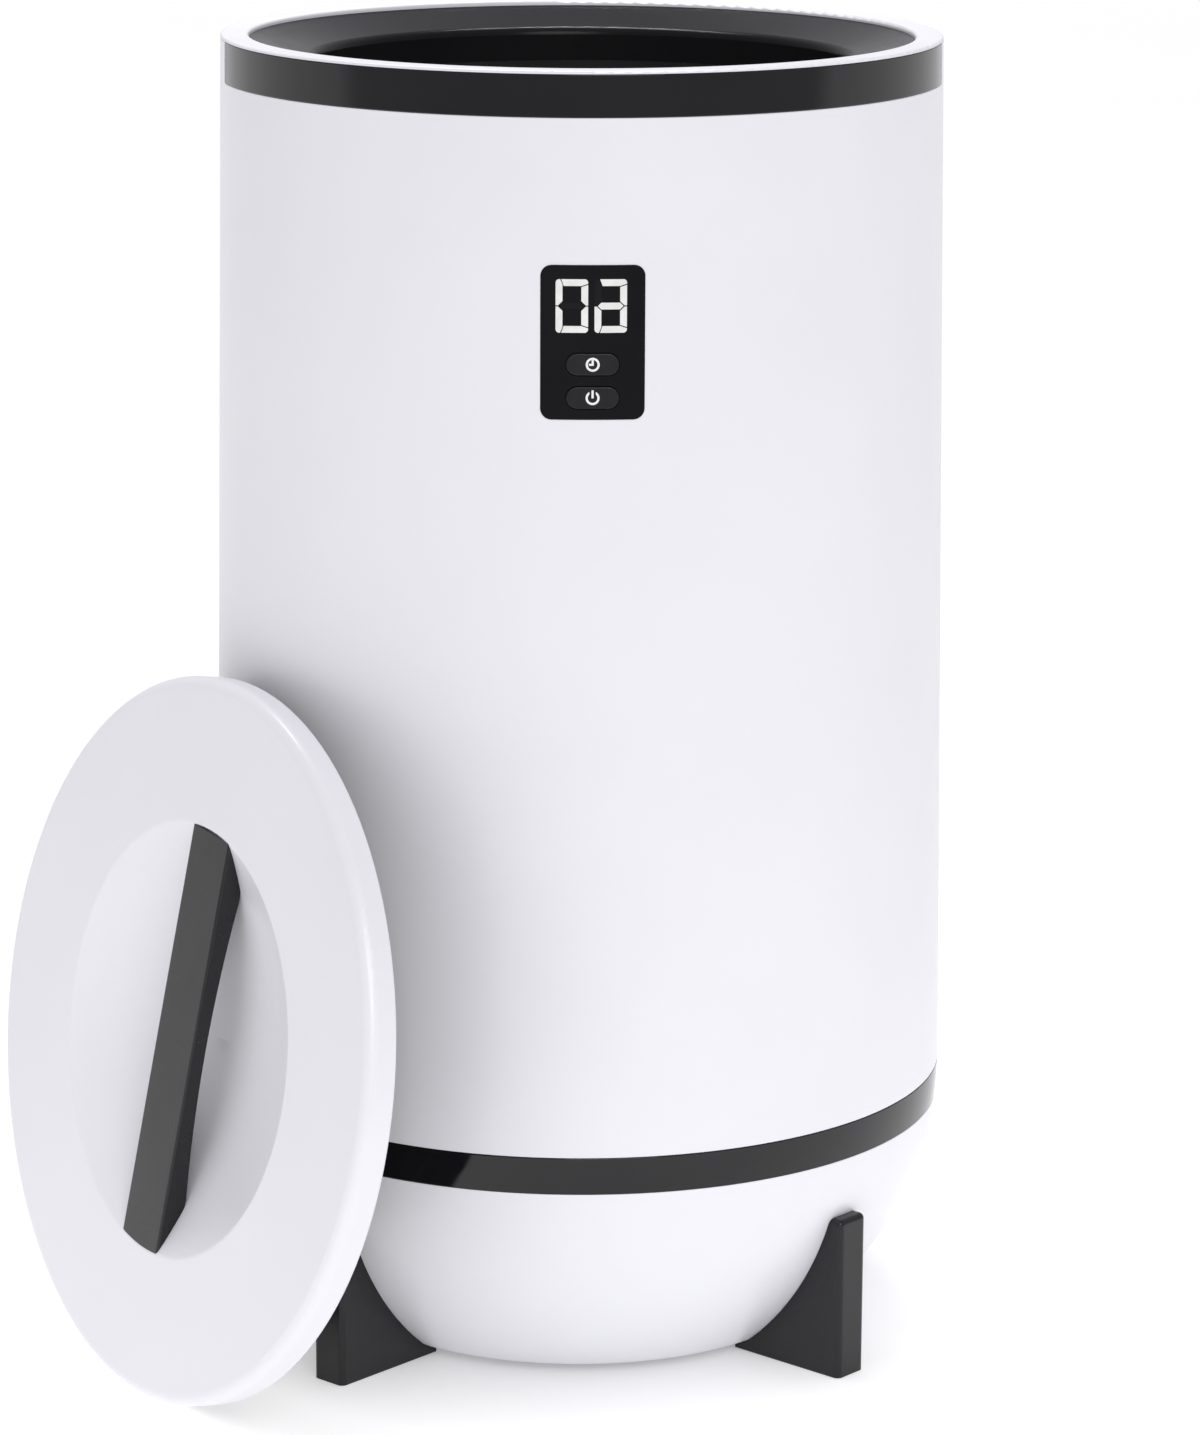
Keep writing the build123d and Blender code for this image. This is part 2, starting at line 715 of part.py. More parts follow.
with BuildPart() as base_bowl:
    with BuildSketch(Plane.XZ):
        with BuildLine():
            bowl_line(low_band_low, 0)
            Line((0, bowl_floor_gap), (0, floor_inside))
            bowl_line(bowl_inner_high, shell_wall)
            Polyline(
                wall_point(bowl_inner_high, shell_wall),
                (spigot_radius - shell_wall, low_band_low),
                (spigot_radius - shell_wall, spigot_meeting),
                (spigot_radius, spigot_meeting),
                (spigot_radius, low_band_low),
                wall_point(low_band_low),
            )
        make_face()
    revolve(axis=Axis.Z)
    with BuildSketch(Plane.XY.offset(floor_inside - shell_wall / 2)):
        with PolarLocations(post_circle, case_screw_count, case_screw_turn):
            Circle(post_radius + bowl_boss_margin)
        with GridLocations(2 * board_x, 2 * board_y, 2, 2):
            Circle(standoff_radius)
    extrude(amount=standoff_height + shell_wall / 2 - seat_gap)
    with BuildSketch(Plane.XY):
        with PolarLocations(post_circle, case_screw_count, case_screw_turn):
            Circle(case_screw * head_ratio + 2 * nest_gap)
    extrude(amount=bowl_screw_seat, mode=Mode.SUBTRACT)
    with BuildSketch(Plane.XY):
        with PolarLocations(post_circle, case_screw_count, case_screw_turn):
            Circle(case_screw / 2 + nest_gap)
    extrude(amount=post_low + 1, mode=Mode.SUBTRACT)
    with BuildSketch(Plane.XY.offset(floor_inside)):
        with GridLocations(2 * board_x, 2 * board_y, 2, 2):
            Circle(board_screw / 2 + screw_fit)
    extrude(amount=standoff_height + 1, mode=Mode.SUBTRACT)
    drill(bowl_normal(gland_level, 90).offset(-2 * shell_wall), gland_radius + nest_gap, 4 * shell_wall)
    for angle in foot_angles.values():
        seat = bowl_normal(foot_screw_level, angle).offset(-2 * shell_wall)
        drill(seat, case_screw / 2 + nest_gap, 4 * shell_wall)
base_bowl.part.label = "base_bowl"
export_step(base_bowl.part, "parts/base_bowl.step")

with BuildPart() as bowl_screws:
    for step in range(case_screw_count):
        angle = case_screw_turn + 360 / case_screw_count * step
        seat = ring_plane(post_circle, angle, bowl_screw_seat - seat_gap)
        add_screw(seat, case_screw, case_screw_length)
bowl_screws.part.label = "bowl_screws"
export_step(bowl_screws.part, "parts/bowl_screws.step")

# ---------------------------------------------------------------- feet
foot_reach = shoulder_radius - foot_set_back
foot_tip_radius = toe_centre_r - foot_tip_lap
foot_length = foot_reach - foot_tip_radius
pad_centre = foot_reach - pad_end_margin - pad_length / 2
for name, angle in foot_angles.items():
    turn = radians(angle)
    outwards = Vector(cos(turn), sin(turn), 0)
    with BuildPart() as foot:
        with BuildSketch(Plane(origin=(0, 0, foot_sole_level), x_dir=outwards, z_dir=(0, 0, 1))):
            with Locations((foot_tip_radius, 0)):
                Rectangle(foot_length, foot_width, align=(Align.MIN, Align.CENTER))
        extrude(amount=foot_top_level - foot_sole_level)
        outer_face = foot.faces().sort_by(Axis((0, 0, 0), outwards))[-1]
        fillet(outer_face.edges().filter_by(Axis.Z), foot_round)
        top_face = foot.faces().sort_by(Axis.Z)[-1]
        fillet(top_face.edges().sort_by(Axis((0, 0, 0), outwards))[1:], foot_round)
        with BuildSketch(Plane.XZ):
            with BuildLine():
                bowl_line(foot_top_level + foot_round, -foot_gap)
                form_top = (0, foot_top_level + foot_round)
                Polyline(
                    (0, bowl_floor_gap - foot_gap),
                    form_top,
                    wall_point(foot_top_level + foot_round, -foot_gap),
                )
            make_face()
        revolve(axis=Axis.Z, mode=Mode.SUBTRACT)
        with BuildSketch(Plane(origin=(0, 0, foot_sole_level), x_dir=outwards, z_dir=(0, 0, 1))):
            with Locations((pad_centre, 0)):
                Rectangle(pad_length + 2 * nest_gap, pad_width + 2 * nest_gap)
        extrude(amount=pad_thickness - foot_sole_level + seat_gap, mode=Mode.SUBTRACT)
        screw_hole = bowl_normal(foot_screw_level, angle)
        drill(screw_hole, case_screw / 2 + screw_fit, foot_screw_length)
    foot.part.label = f"foot_{name}"
    export_step(foot.part, f"parts/foot_{name}.step")

    with BuildPart() as foot_pad:
        with BuildSketch(Plane(origin=(0, 0, 0), x_dir=outwards, z_dir=(0, 0, 1))):
            with Locations((pad_centre, 0)):
                RectangleRounded(pad_length, pad_width, pad_width / 6)
        extrude(amount=pad_thickness)
    foot_pad.part.label = f"foot_pad_{name}"
    export_step(foot_pad.part, f"parts/foot_pad_{name}.step")

with BuildPart() as foot_screws:
    for angle in foot_angles.values():
        seat = bowl_normal(foot_screw_level, angle).offset(-shell_wall - nest_gap)
        add_screw(seat, case_screw, foot_screw_length)
foot_screws.part.label = "foot_screws"
export_step(foot_screws.part, "parts/foot_screws.step")

# ---------------------------------------------------------------- power board and mains parts
board_low = floor_inside + standoff_height + seat_gap
board_top = board_low + board_thickness
with BuildPart() as power_board:
    with BuildSketch(Plane.XY.offset(board_low)):
        RectangleRounded(power_board_length, power_board_width, standoff_inset / 2)
        with GridLocations(2 * board_x, 2 * board_y, 2, 2):
            Circle(board_screw / 2 + nest_gap, mode=Mode.SUBTRACT)
    extrude(amount=board_thickness)
power_board.part.label = "power_board"
export_step(power_board.part, "parts/power_board.step")

with BuildPart() as board_screws:
    for x in (-board_x, board_x):
        for y in (-board_y, board_y):
            seat = Plane(origin=(x, y, board_top + seat_gap), x_dir=(1, 0, 0), z_dir=(0, 0, -1))
            add_screw(seat, board_screw, board_screw_length)
board_screws.part.label = "board_screws"
export_step(board_screws.part, "parts/board_screws.step")


def board_block(size, place):
    """Adds a plain block that stands on the power board."""
    with BuildSketch(Plane.XY.offset(board_top + seat_gap)) as footprint:
        with Locations(place):
            Rectangle(size[0], size[1])
    extrude(footprint.sketch, amount=size[2])


with BuildPart() as power_transformer:
    board_block(transformer_size, transformer_place)
    with BuildSketch(Plane.XY.offset(board_top + seat_gap + coil_rise)):
        with Locations(transformer_place):
            Rectangle(coil_size[0], coil_size[1])
    extrude(amount=coil_size[2])
    fillet(power_transformer.edges().filter_by(Axis.Z), block_edge)
power_transformer.part.label = "power_transformer"
export_step(power_transformer.part, "parts/power_transformer.step")

with BuildPart() as power_relay:
    board_block(relay_size, relay_place)
    fillet(power_relay.edges().filter_by(Axis.Z), block_edge)
    fillet(power_relay.faces().sort_by(Axis.Z)[-1].edges(), edge_round)
power_relay.part.label = "power_relay"
export_step(power_relay.part, "parts/power_relay.step")

with BuildPart() as filter_capacitor:
    with BuildSketch(Plane.XY.offset(board_top + seat_gap)):
        with Locations(capacitor_place):
            Circle(capacitor_radius)
    extrude(amount=capacitor_height)
    fillet(filter_capacitor.edges().group_by(Axis.Z)[-1], block_edge)
filter_capacitor.part.label = "filter_capacitor"
export_step(filter_capacitor.part, "parts/filter_capacitor.step")

terminal_back = terminal_place[1] + terminal_size[1] / 2
terminal_middle = board_top + seat_gap + terminal_size[2] / 2
with BuildPart() as terminal_block:
    board_block(terminal_size, terminal_place)
    fillet(terminal_block.edges().filter_by(Axis.Z), block_edge)
    with BuildSketch(Plane.XZ.offset(-terminal_place[1] + terminal_size[1] / 2)):
        with Locations((terminal_place[0], terminal_middle)):
            with GridLocations(terminal_mouth_pitch, 1, 3, 1):
                Rectangle(terminal_mouth[0], terminal_mouth[1])
    extrude(amount=-terminal_mouth_depth, mode=Mode.SUBTRACT)
terminal_block.part.label = "terminal_block"
export_step(terminal_block.part, "parts/terminal_block.step")

# ---------------------------------------------------------------- cord gland and inner mains lead
gland_face = bowl_normal(gland_level, 90)
with BuildPart() as cord_gland:
    with BuildSketch(gland_face.offset(nest_gap)):
        Circle(gland_flange_radius)
    extrude(amount=gland_flange_thickness, taper=20)
    with BuildSketch(gland_face.offset(nest_gap)):
        Circle(gland_radius)
    extrude(amount=-(shell_wall + gland_nut_height + 4 * nest_gap))
    with BuildSketch(gland_face.offset(-shell_wall - 3 * nest_gap)):
        RegularPolygon(gland_flange_radius, 6)
    extrude(amount=-gland_nut_height)
    with BuildSketch(gland_face.offset(2 * gland_flange_thickness)):
        Circle(gland_bore)
    extrude(amount=-4 * (gland_flange_thickness + gland_nut_height), mode=Mode.SUBTRACT)
cord_gland.part.label = "cord_gland"
export_step(cord_gland.part, "parts/cord_gland.step")

lead_start = gland_face.offset(-shell_wall)
lead_straight = lead_start.origin - gland_face.z_dir * (4 * lead_radius + gland_nut_height)
lead_end = Vector(terminal_place[0], terminal_back + seat_gap, terminal_middle)
lead_last = lead_end + Vector(0, 5 * lead_radius, 0)
lead_middle = (lead_straight + lead_last) / 2 - Vector(0, 0, lead_radius)
with BuildPart() as mains_lead:
    with BuildLine():
        FilletPolyline(
            lead_start.origin, lead_straight, lead_middle, lead_last, lead_end,
            radius=[4 * lead_radius, 5 * lead_radius, 4 * lead_radius],
        )
    with BuildSketch(Plane(origin=lead_start.origin, z_dir=-gland_face.z_dir)):
        Circle(lead_radius)
    sweep()
mains_lead.part.label = "mains_lead"
export_step(mains_lead.part, "parts/mains_lead.step")

with BuildPart() as heater_leads:
    with BuildSketch(Plane.XY.offset(board_top + seat_gap)):
        with Locations((-wire_hole_offset, 0)):
            with GridLocations(heater_lead_spacing, heater_lead_spacing, 1, 2):
                Circle(heater_lead_radius)
    extrude(amount=base_heater_low - 2 * seat_gap - board_top)
heater_leads.part.label = "heater_leads"
export_step(heater_leads.part, "parts/heater_leads.step")

# ---------------------------------------------------------------- display panel
panel_face = wall_radius(panel_level)
panel_high_edge = panel_level + panel_height / 2
panel_low = panel_level - panel_height / 2 - 2 * frame_border
panel_high = panel_level + panel_height / 2 + 2 * frame_border
board_front = panel_face - shell_wall - board_level
digit_centre = panel_high_edge - digit_head_margin - digit_height / 2
timer_level = digit_centre - digit_height / 2 - digit_to_button - button_height / 2
button_levels = {"timer": timer_level, "power": timer_level - button_height - button_spacing}
digit_places = [digit_shift - digit_pitch / 2, digit_shift + digit_pitch / 2]


def segment_points(letter):
    """Corners of one of the seven strokes of a digit, centred on the digit."""
    half_w = digit_width / 2
    half_h = digit_height / 2
    inner_w = half_w - segment_width
    inner_h = half_h - segment_width
    cut = segment_cut / 2
    slant = digit_mitre_slant * (segment_width - digit_mitre) / segment_width
    top = [
        (-half_w + digit_mitre + cut, half_h),
        (half_w, half_h),
        (half_w, half_h - digit_mitre + cut),
        (inner_w, inner_h),
        (-inner_w + digit_mitre_slant / 2, inner_h),
    ]
    upper_left = [
        (-half_w, half_h),
        (-half_w + digit_mitre - cut, half_h),
        (-inner_w, inner_h + slant + cut),
        (-inner_w, digit_waist),
        (-half_w + bar_tip - cut, cut),
        (-half_w, cut),
    ]
    upper_right = [
        (half_w, half_h - digit_mitre - cut),
        (half_w, cut),
        (half_w - bar_tip + cut, cut),
        (inner_w, digit_waist),
        (inner_w, inner_h - 2 * cut),
    ]
    bar_reach = half_w - bar_tip - cut
    bar = [
        (-bar_reach, 0),
        (-bar_reach + segment_width / 2, segment_width / 2),
        (bar_reach - segment_width / 2, segment_width / 2),
        (bar_reach, 0),
        (bar_reach - segment_width / 2, -segment_width / 2),
        (-bar_reach + segment_width / 2, -segment_width / 2),
    ]
    shapes = {
        "a": top,
        "b": upper_right,
        "c": [(x, -y) for x, y in upper_right],
        "d": [(x, -y) for x, y in top],
        "e": [(x, -y) for x, y in upper_left],
        "f": upper_left,
        "g": bar,
    }
    return shapes[letter]


lit_strokes = ["abcdef", "abcdeg"]
dark_strokes = ["g", "f"]


def digit_sketch(sketch, strokes, grow=0.0):
    """Draws chosen strokes of both digits on the panel's plane, with round outer corners."""
    for place, letters in zip(digit_places, strokes):
        for letter in letters:
            with Locations((place, digit_centre)):
                Polygon(*segment_points(letter), align=None)

    def is_outer_corner(vertex):
        across = min(abs(abs(vertex.X - place) - digit_width / 2) for place in digit_places)
        upright = abs(abs(vertex.Y - digit_centre) - digit_height / 2)
        return across < 0.001 and upright < 0.001

    fillet(sketch.vertices().filter_by(is_outer_corner), digit_corner)
    if grow:
        offset(amount=grow, kind=Kind.INTERSECTION)


def face_skin(inner_inset, outer_inset):
    """Keeps only what lies in a skin that follows the outer line around the panel."""
    with BuildSketch(Plane.XZ) as skin:
        wall_ring(panel_low, panel_high, inner_inset, outer_inset)
    revolve(skin.sketch, axis=Axis.Z, mode=Mode.INTERSECT)


with BuildPart() as panel_window:
    with BuildSketch(Plane.XZ.offset(board_front)):
        with Locations((0, panel_level)):
            RectangleRounded(panel_width, panel_height, panel_corner)
    extrude(amount=2 * board_level)
    face_skin(shell_wall, -panel_proud)
    for strokes in (lit_strokes, dark_strokes):
        with BuildSketch(Plane.XZ.offset(board_front)) as slots:
            digit_sketch(slots, strokes, segment_fit)
        extrude(amount=2 * board_level, mode=Mode.SUBTRACT)
    with BuildSketch(Plane.XZ.offset(board_front)):
        for level in button_levels.values():
            with Locations((0, level)):
                SlotOverall(button_length + 2 * button_gap, button_height + 2 * button_gap)
    extrude(amount=2 * board_level, mode=Mode.SUBTRACT)
panel_window.part.label = "panel_window"
export_step(panel_window.part, "parts/panel_window.step")

module_front = board_front + seat_gap + module_depth
for label, strokes in (("lit_segments", lit_strokes), ("unlit_segments", dark_strokes)):
    with BuildPart() as segments:
        with BuildSketch(Plane.XZ.offset(module_front + seat_gap)) as outline:
            digit_sketch(outline, strokes)
        extrude(amount=2 * board_level)
        face_skin(2 * board_level, -panel_proud)
    segments.part.label = label
    export_step(segments.part, f"parts/{label}.step")

with BuildPart() as digit_module:
    module_width = digit_pitch + digit_width + 2 * digit_module_margin
    module_height = digit_height + 2 * digit_module_margin
    with BuildSketch(Plane.XZ.offset(board_front + seat_gap)):
        with Locations((digit_shift, digit_centre)):
            Rectangle(module_width, module_height)
    extrude(amount=module_depth)
    fillet(digit_module.edges().filter_by(Axis.Y), block_edge)
digit_module.part.label = "digit_module"
export_step(digit_module.part, "parts/digit_module.step")

frame_width = panel_width + 2 * frame_border
frame_height = panel_height + 2 * frame_border
frame_screw_x = frame_width / 2 - frame_border / 2 - frame_lap / 2
frame_screw_z = frame_height / 2 - frame_border / 2 - frame_lap / 2
with BuildPart() as panel_frame:
    with BuildSketch(Plane.XZ.offset(board_front + seat_gap)):
        with Locations((0, panel_level)):
            RectangleRounded(frame_width, frame_height, panel_corner)
            Rectangle(panel_width - 2 * frame_lap, panel_height - 2 * frame_lap, mode=Mode.SUBTRACT)
    extrude(amount=2 * board_level)
    face_skin(2 * board_level, shell_wall + 2 * seat_gap)
    with BuildSketch(Plane.XZ.offset(board_front)):
        with Locations((0, panel_level)):
            with GridLocations(2 * frame_screw_x, 2 * frame_screw_z, 2, 2):
                Circle(board_screw / 2 + screw_fit)
    extrude(amount=board_screw_length, mode=Mode.SUBTRACT)
panel_frame.part.label = "panel_frame"
export_step(panel_frame.part, "parts/panel_frame.step")

with BuildPart() as display_board:
    with BuildSketch(Plane.XZ.offset(board_front)):
        with Locations((0, panel_level)):
            RectangleRounded(frame_width, frame_height, panel_corner / 2)
            with GridLocations(2 * frame_screw_x, 2 * frame_screw_z, 2, 2):
                Circle(board_screw / 2 + nest_gap, mode=Mode.SUBTRACT)
    extrude(amount=-board_thickness)
display_board.part.label = "display_board"
export_step(display_board.part, "parts/display_board.step")

with BuildPart() as display_screws:
    for x in (-frame_screw_x, frame_screw_x):
        for z in (panel_level - frame_screw_z, panel_level + frame_screw_z):
            place = (x, -(board_front - board_thickness - seat_gap), z)
            add_screw(Plane(origin=place, z_dir=(0, -1, 0)), board_screw, board_screw_length)
display_screws.part.label = "display_screws"
export_step(display_screws.part, "parts/display_screws.step")

ribbon_y = -(board_front - board_thickness - seat_gap - ribbon_thickness / 2)
ribbon_high = panel_level - frame_height / 2 + 3 * ribbon_bend
ribbon_low = board_top + seat_gap + ribbon_thickness / 2
with BuildPart() as display_cable:
    with BuildSketch(Plane.YZ.offset(-ribbon_width / 2)):
        with BuildLine():
            FilletPolyline(
                (ribbon_y, ribbon_high),
                (ribbon_y, panel_level - frame_height / 2 - 3 * ribbon_bend),
                (-shell_boss_circle, panel_level - frame_height / 2 - 9 * ribbon_bend),
                (-shell_boss_circle, chassis_level - 3 * ribbon_bend),
                (-power_board_width / 2 - 3 * ribbon_bend, ribbon_low),
                (-power_board_width / 2 + ribbon_bend, ribbon_low),
                radius=ribbon_bend,
            )
        trace(line_width=ribbon_thickness)
    extrude(amount=ribbon_width)
display_cable.part.label = "display_cable"
export_step(display_cable.part, "parts/display_cable.step")

# ---------------------------------------------------------------- buttons with their switches
flange_front = panel_face - shell_wall - 2.4 * button_gap
flange_back = flange_front - button_flange_thickness
stem_front = board_front + switch_height + 2 * button_travel


def icon_sketch(name, level, grow=0.0):
    """Sketches a clock or the usual power mark: a ring with a stroke or two."""
    outer = icon_radius + grow
    inner = icon_radius - icon_stroke - grow
    stroke = icon_stroke + 2 * grow
    with Locations((0, level)):
        Circle(outer)
        Circle(inner, mode=Mode.SUBTRACT)
    if name == "timer":
        with Locations((0, level - icon_stroke / 2)):
            Rectangle(stroke, clock_hand_up + 2 * grow, align=(Align.CENTER, Align.MIN))
        with Locations((icon_stroke / 2, level)):
            Rectangle(clock_hand_aside + 2 * grow, stroke, align=(Align.MAX, Align.CENTER))
    else:
        with Locations((0, level + icon_radius)):
            Rectangle(power_gap - 2 * grow, 2 * icon_radius, mode=Mode.SUBTRACT)
        with Locations((0, level + power_stroke_rise)):
            Rectangle(stroke, power_stroke + 2 * grow)


for name, level in button_levels.items():
    with BuildPart() as cap:
        with BuildSketch(Plane.XZ.offset(flange_front)):
            with Locations((0, level)):
                SlotOverall(button_length, button_height)
        extrude(amount=board_level)
        face_skin(2 * board_level, -button_proud)
        fillet(cap.faces().sort_by(Axis.Y)[0].edges(), button_edge)
        with BuildSketch(Plane.XZ.offset(flange_front)):
            with Locations((0, level)):
                SlotOverall(button_length + 2 * button_flange, button_height + 2 * button_flange)
        extrude(amount=-button_flange_thickness)
        with BuildSketch(Plane.XZ.offset(flange_back)):
            with Locations((0, level)):
                Circle(plunger_radius)
        extrude(amount=-(flange_back - stem_front - seat_gap))
        icon_back = panel_face + button_proud - icon_depth
        with BuildSketch(Plane.XZ.offset(icon_back)):
            icon_sketch(name, level, icon_fit)
        extrude(amount=board_level, mode=Mode.SUBTRACT)
    cap.part.label = f"{name}_button"
    export_step(cap.part, f"parts/{name}_button.step")

    with BuildPart() as icon:
        with BuildSketch(Plane.XZ.offset(icon_back + icon_fit)):
            icon_sketch(name, level)
        extrude(amount=board_level)
        face_skin(2 * board_level, -button_proud)
    icon.part.label = f"{name}_icon"
    export_step(icon.part, f"parts/{name}_icon.step")

    with BuildPart() as stem:
        with BuildSketch(Plane.XZ.offset(stem_front)):
            with Locations((0, level)):
                Circle(stem_radius)
        extrude(amount=-(2 * button_travel + switch_height / 2))
    stem.part.label = f"{name}_switch_stem"
    export_step(stem.part, f"parts/{name}_switch_stem.step")

    with BuildPart() as switch:
        with BuildSketch(Plane.XZ.offset(board_front + seat_gap)):
            with Locations((0, level)):
                Rectangle(switch_size, switch_size)
        extrude(amount=switch_height - seat_gap)
        fillet(switch.edges().filter_by(Axis.Y), edge_round)
        with BuildSketch(Plane.XZ.offset(board_front + switch_height / 2 - 2 * button_travel)):
            with Locations((0, level)):
                Circle(stem_radius + stem_fit)
        extrude(amount=switch_height, mode=Mode.SUBTRACT)
    switch.part.label = f"{name}_switch"
    export_step(switch.part, f"parts/{name}_switch.step")

# ---------------------------------------------------------------- lid, in its own leaning frame
lid_radius = rim_radius
plug_radius = throat_radius - plug_fit
gasket_radius = plug_radius + gasket_proud
cover_radius = lid_radius - lid_wall - lid_cover_gap
lid_boss_circle = (plug_radius + cover_radius) / 2
handle_screw_circle = dish_radius - handle_screw_inset
facing = Vector(cos(radians(lid_facing)), sin(radians(lid_facing)), 0)
aside = Vector(-facing.Y, facing.X, 0)
lean = radians(lid_lean)
lid_normal = facing * cos(lean) + Vector(0, 0, 1) * sin(lean)
lid_up = Vector(0, 0, 1) * cos(lean) - facing * sin(lean)
lid_height = (
    (lid_radius - lid_back_round) * cos(lean) + (lid_rim_height - lid_back_round) * sin(lean) + lid_back_round
)
# The rounded edge of its plug is what meets the wall
touch_r = plug_radius - plug_round
touch_back = lid_rim_height + plug_depth - plug_round
touch_level = lid_height + (touch_r * cos(lean) - touch_back * sin(lean))
wall_there = sqrt(wall_radius(touch_level) ** 2 - lid_side_step**2)
lid_reach = wall_there + lean_gap + plug_round + touch_back * cos(lean) + touch_r * sin(lean)
lid_centre = facing * lid_reach + aside * lid_side_step + Vector(0, 0, lid_height)
lid_plane = Plane(origin=lid_centre, x_dir=aside, z_dir=lid_normal)
lid_section = Plane(origin=lid_centre, x_dir=aside, z_dir=lid_up * -1)
lid_axis = Axis(lid_centre, lid_normal)
lid_back = -lid_rim_height
dish_sphere = (dish_radius**2 + dish_depth**2) / (2 * dish_depth)
dish_slope = asin(dish_radius / dish_sphere)


def dish_line(sphere, drop, end_level):
    """Draws the dish's arc from the lid's axis out to a level, for a sphere of a radius."""
    centre = dish_sphere - dish_depth
    end_r = sqrt(sphere**2 - (centre - end_level) ** 2)
    half = asin(end_r / sphere) / 2
    ThreePointArc(
        (0, -dish_depth - drop),
        (sphere * sin(half), centre - sphere * cos(half)),
        (end_r, end_level),
    )
    return (end_r, end_level)


with BuildPart() as lid_shell:
    with BuildSketch(lid_section):
        with BuildLine():
            dish_rim = dish_line(dish_sphere, 0, 0)
            Polyline(dish_rim, (lid_radius, 0), (lid_radius, lid_back), (lid_radius - lid_wall, lid_back))
            inner_end = dish_line(dish_sphere + lid_wall, lid_wall, -lid_wall)
            Polyline((lid_radius - lid_wall, lid_back), (lid_radius - lid_wall, -lid_wall), inner_end)
            Line((0, -dish_depth), (0, -dish_depth - lid_wall))
        make_face()
    revolve(axis=lid_axis)
    circles = lid_shell.edges().filter_by(GeomType.CIRCLE)
    front_edges = circles.sort_by(Axis(lid_centre, lid_normal))
    rim_edge = front_edges.filter_by(lambda e: abs(e.radius - lid_radius) < 0.01)
    fillet(rim_edge[-1], lid_front_round)
    back_edge = lid_shell.edges().filter_by(GeomType.CIRCLE).filter_by(
        lambda e: abs(e.radius - lid_radius) < 0.01
    )
    fillet(back_edge.sort_by(Axis(lid_centre, lid_normal))[0], lid_back_round)
    dish_edge = lid_shell.edges().filter_by(GeomType.CIRCLE).filter_by(
        lambda e: abs(e.radius - dish_radius) < 0.01
    )
    fillet(dish_edge, dish_edge_round)
    with BuildSketch(lid_plane.offset(-lid_wall * 0.6)):
        with PolarLocations(lid_boss_circle, lid_screw_count):
            Circle(lid_boss_radius)
    extrude(amount=-(lid_rim_height - lid_wall * 0.6 - plug_wall - 2 * seat_gap))
    with BuildSketch(lid_plane.offset(lid_back)):
        with PolarLocations(lid_boss_circle, lid_screw_count):
            Circle(lid_screw / 2 + screw_fit)
    extrude(amount=lid_rim_height - lid_wall, mode=Mode.SUBTRACT)
    with BuildSketch(lid_plane.offset(-handle_boss_level)):
        with Locations(Rotation(0, 0, handle_turn)):
            with GridLocations(handle_screw_spacing, 2 * handle_screw_circle, 2, 2):
                Circle(handle_boss_radius)
    extrude(amount=handle_boss_level)
    with BuildSketch(lid_section):
        with BuildLine():
            dish_end = dish_line(dish_sphere, 0, 0)
            Polyline(dish_end, (dish_end[0], lid_wall), (0, lid_wall), (0, -dish_depth))
        make_face()
    revolve(axis=lid_axis, mode=Mode.SUBTRACT)
    with BuildSketch(lid_plane.offset(-handle_boss_level)):
        with Locations(Rotation(0, 0, handle_turn)):
            with GridLocations(handle_screw_spacing, 2 * handle_screw_circle, 2, 2):
                Circle(handle_screw / 2 + nest_gap)
    extrude(amount=handle_boss_level, mode=Mode.SUBTRACT)
lid_shell.part.label = "lid_shell"
export_step(lid_shell.part, "parts/lid_shell.step")

with BuildPart() as lid_handle:
    with BuildSketch(lid_section):
        with BuildLine():
            dish_end = dish_line(dish_sphere - handle_fit, -handle_fit, 0)
            Polyline(dish_end, (0, 0), (0, -dish_depth + handle_fit))
        make_face()
    revolve(axis=lid_axis)
    with BuildSketch(lid_plane):
        with Locations(Rotation(0, 0, handle_turn)):
            Rectangle(handle_width, 3 * dish_radius)
    extrude(amount=-handle_depth, mode=Mode.INTERSECT)
    long_edges = lid_handle.edges().filter_by(GeomType.LINE).group_by(SortBy.LENGTH)[-1]
    fillet(long_edges.sort_by(Axis(lid_centre, lid_normal))[-2:], handle_edge)
    with BuildSketch(lid_plane.offset(-handle_depth)):
        with Locations(Rotation(0, 0, handle_turn)):
            with GridLocations(handle_screw_spacing, 2 * handle_screw_circle, 2, 2):
                Circle(handle_screw / 2 + screw_fit)
    extrude(amount=handle_depth - handle_skin, mode=Mode.SUBTRACT)
lid_handle.part.label = "lid_handle"
export_step(lid_handle.part, "parts/lid_handle.step")

with BuildPart() as handle_screws:
    for x in (-handle_screw_spacing / 2, handle_screw_spacing / 2):
        for y in (-handle_screw_circle, handle_screw_circle):
            place = Vector(x, y, 0).rotate(Axis.Z, handle_turn)
            spot = lid_centre + lid_plane.x_dir * place.X + lid_plane.y_dir * place.Y
            seat = Plane(
                origin=spot - lid_normal * (handle_boss_level + seat_gap),
                x_dir=lid_plane.x_dir,
                z_dir=lid_normal,
            )
            add_screw(seat, handle_screw, handle_boss_level - handle_skin - lid_cover_gap)
handle_screws.part.label = "handle_screws"
export_step(handle_screws.part, "parts/handle_screws.step")

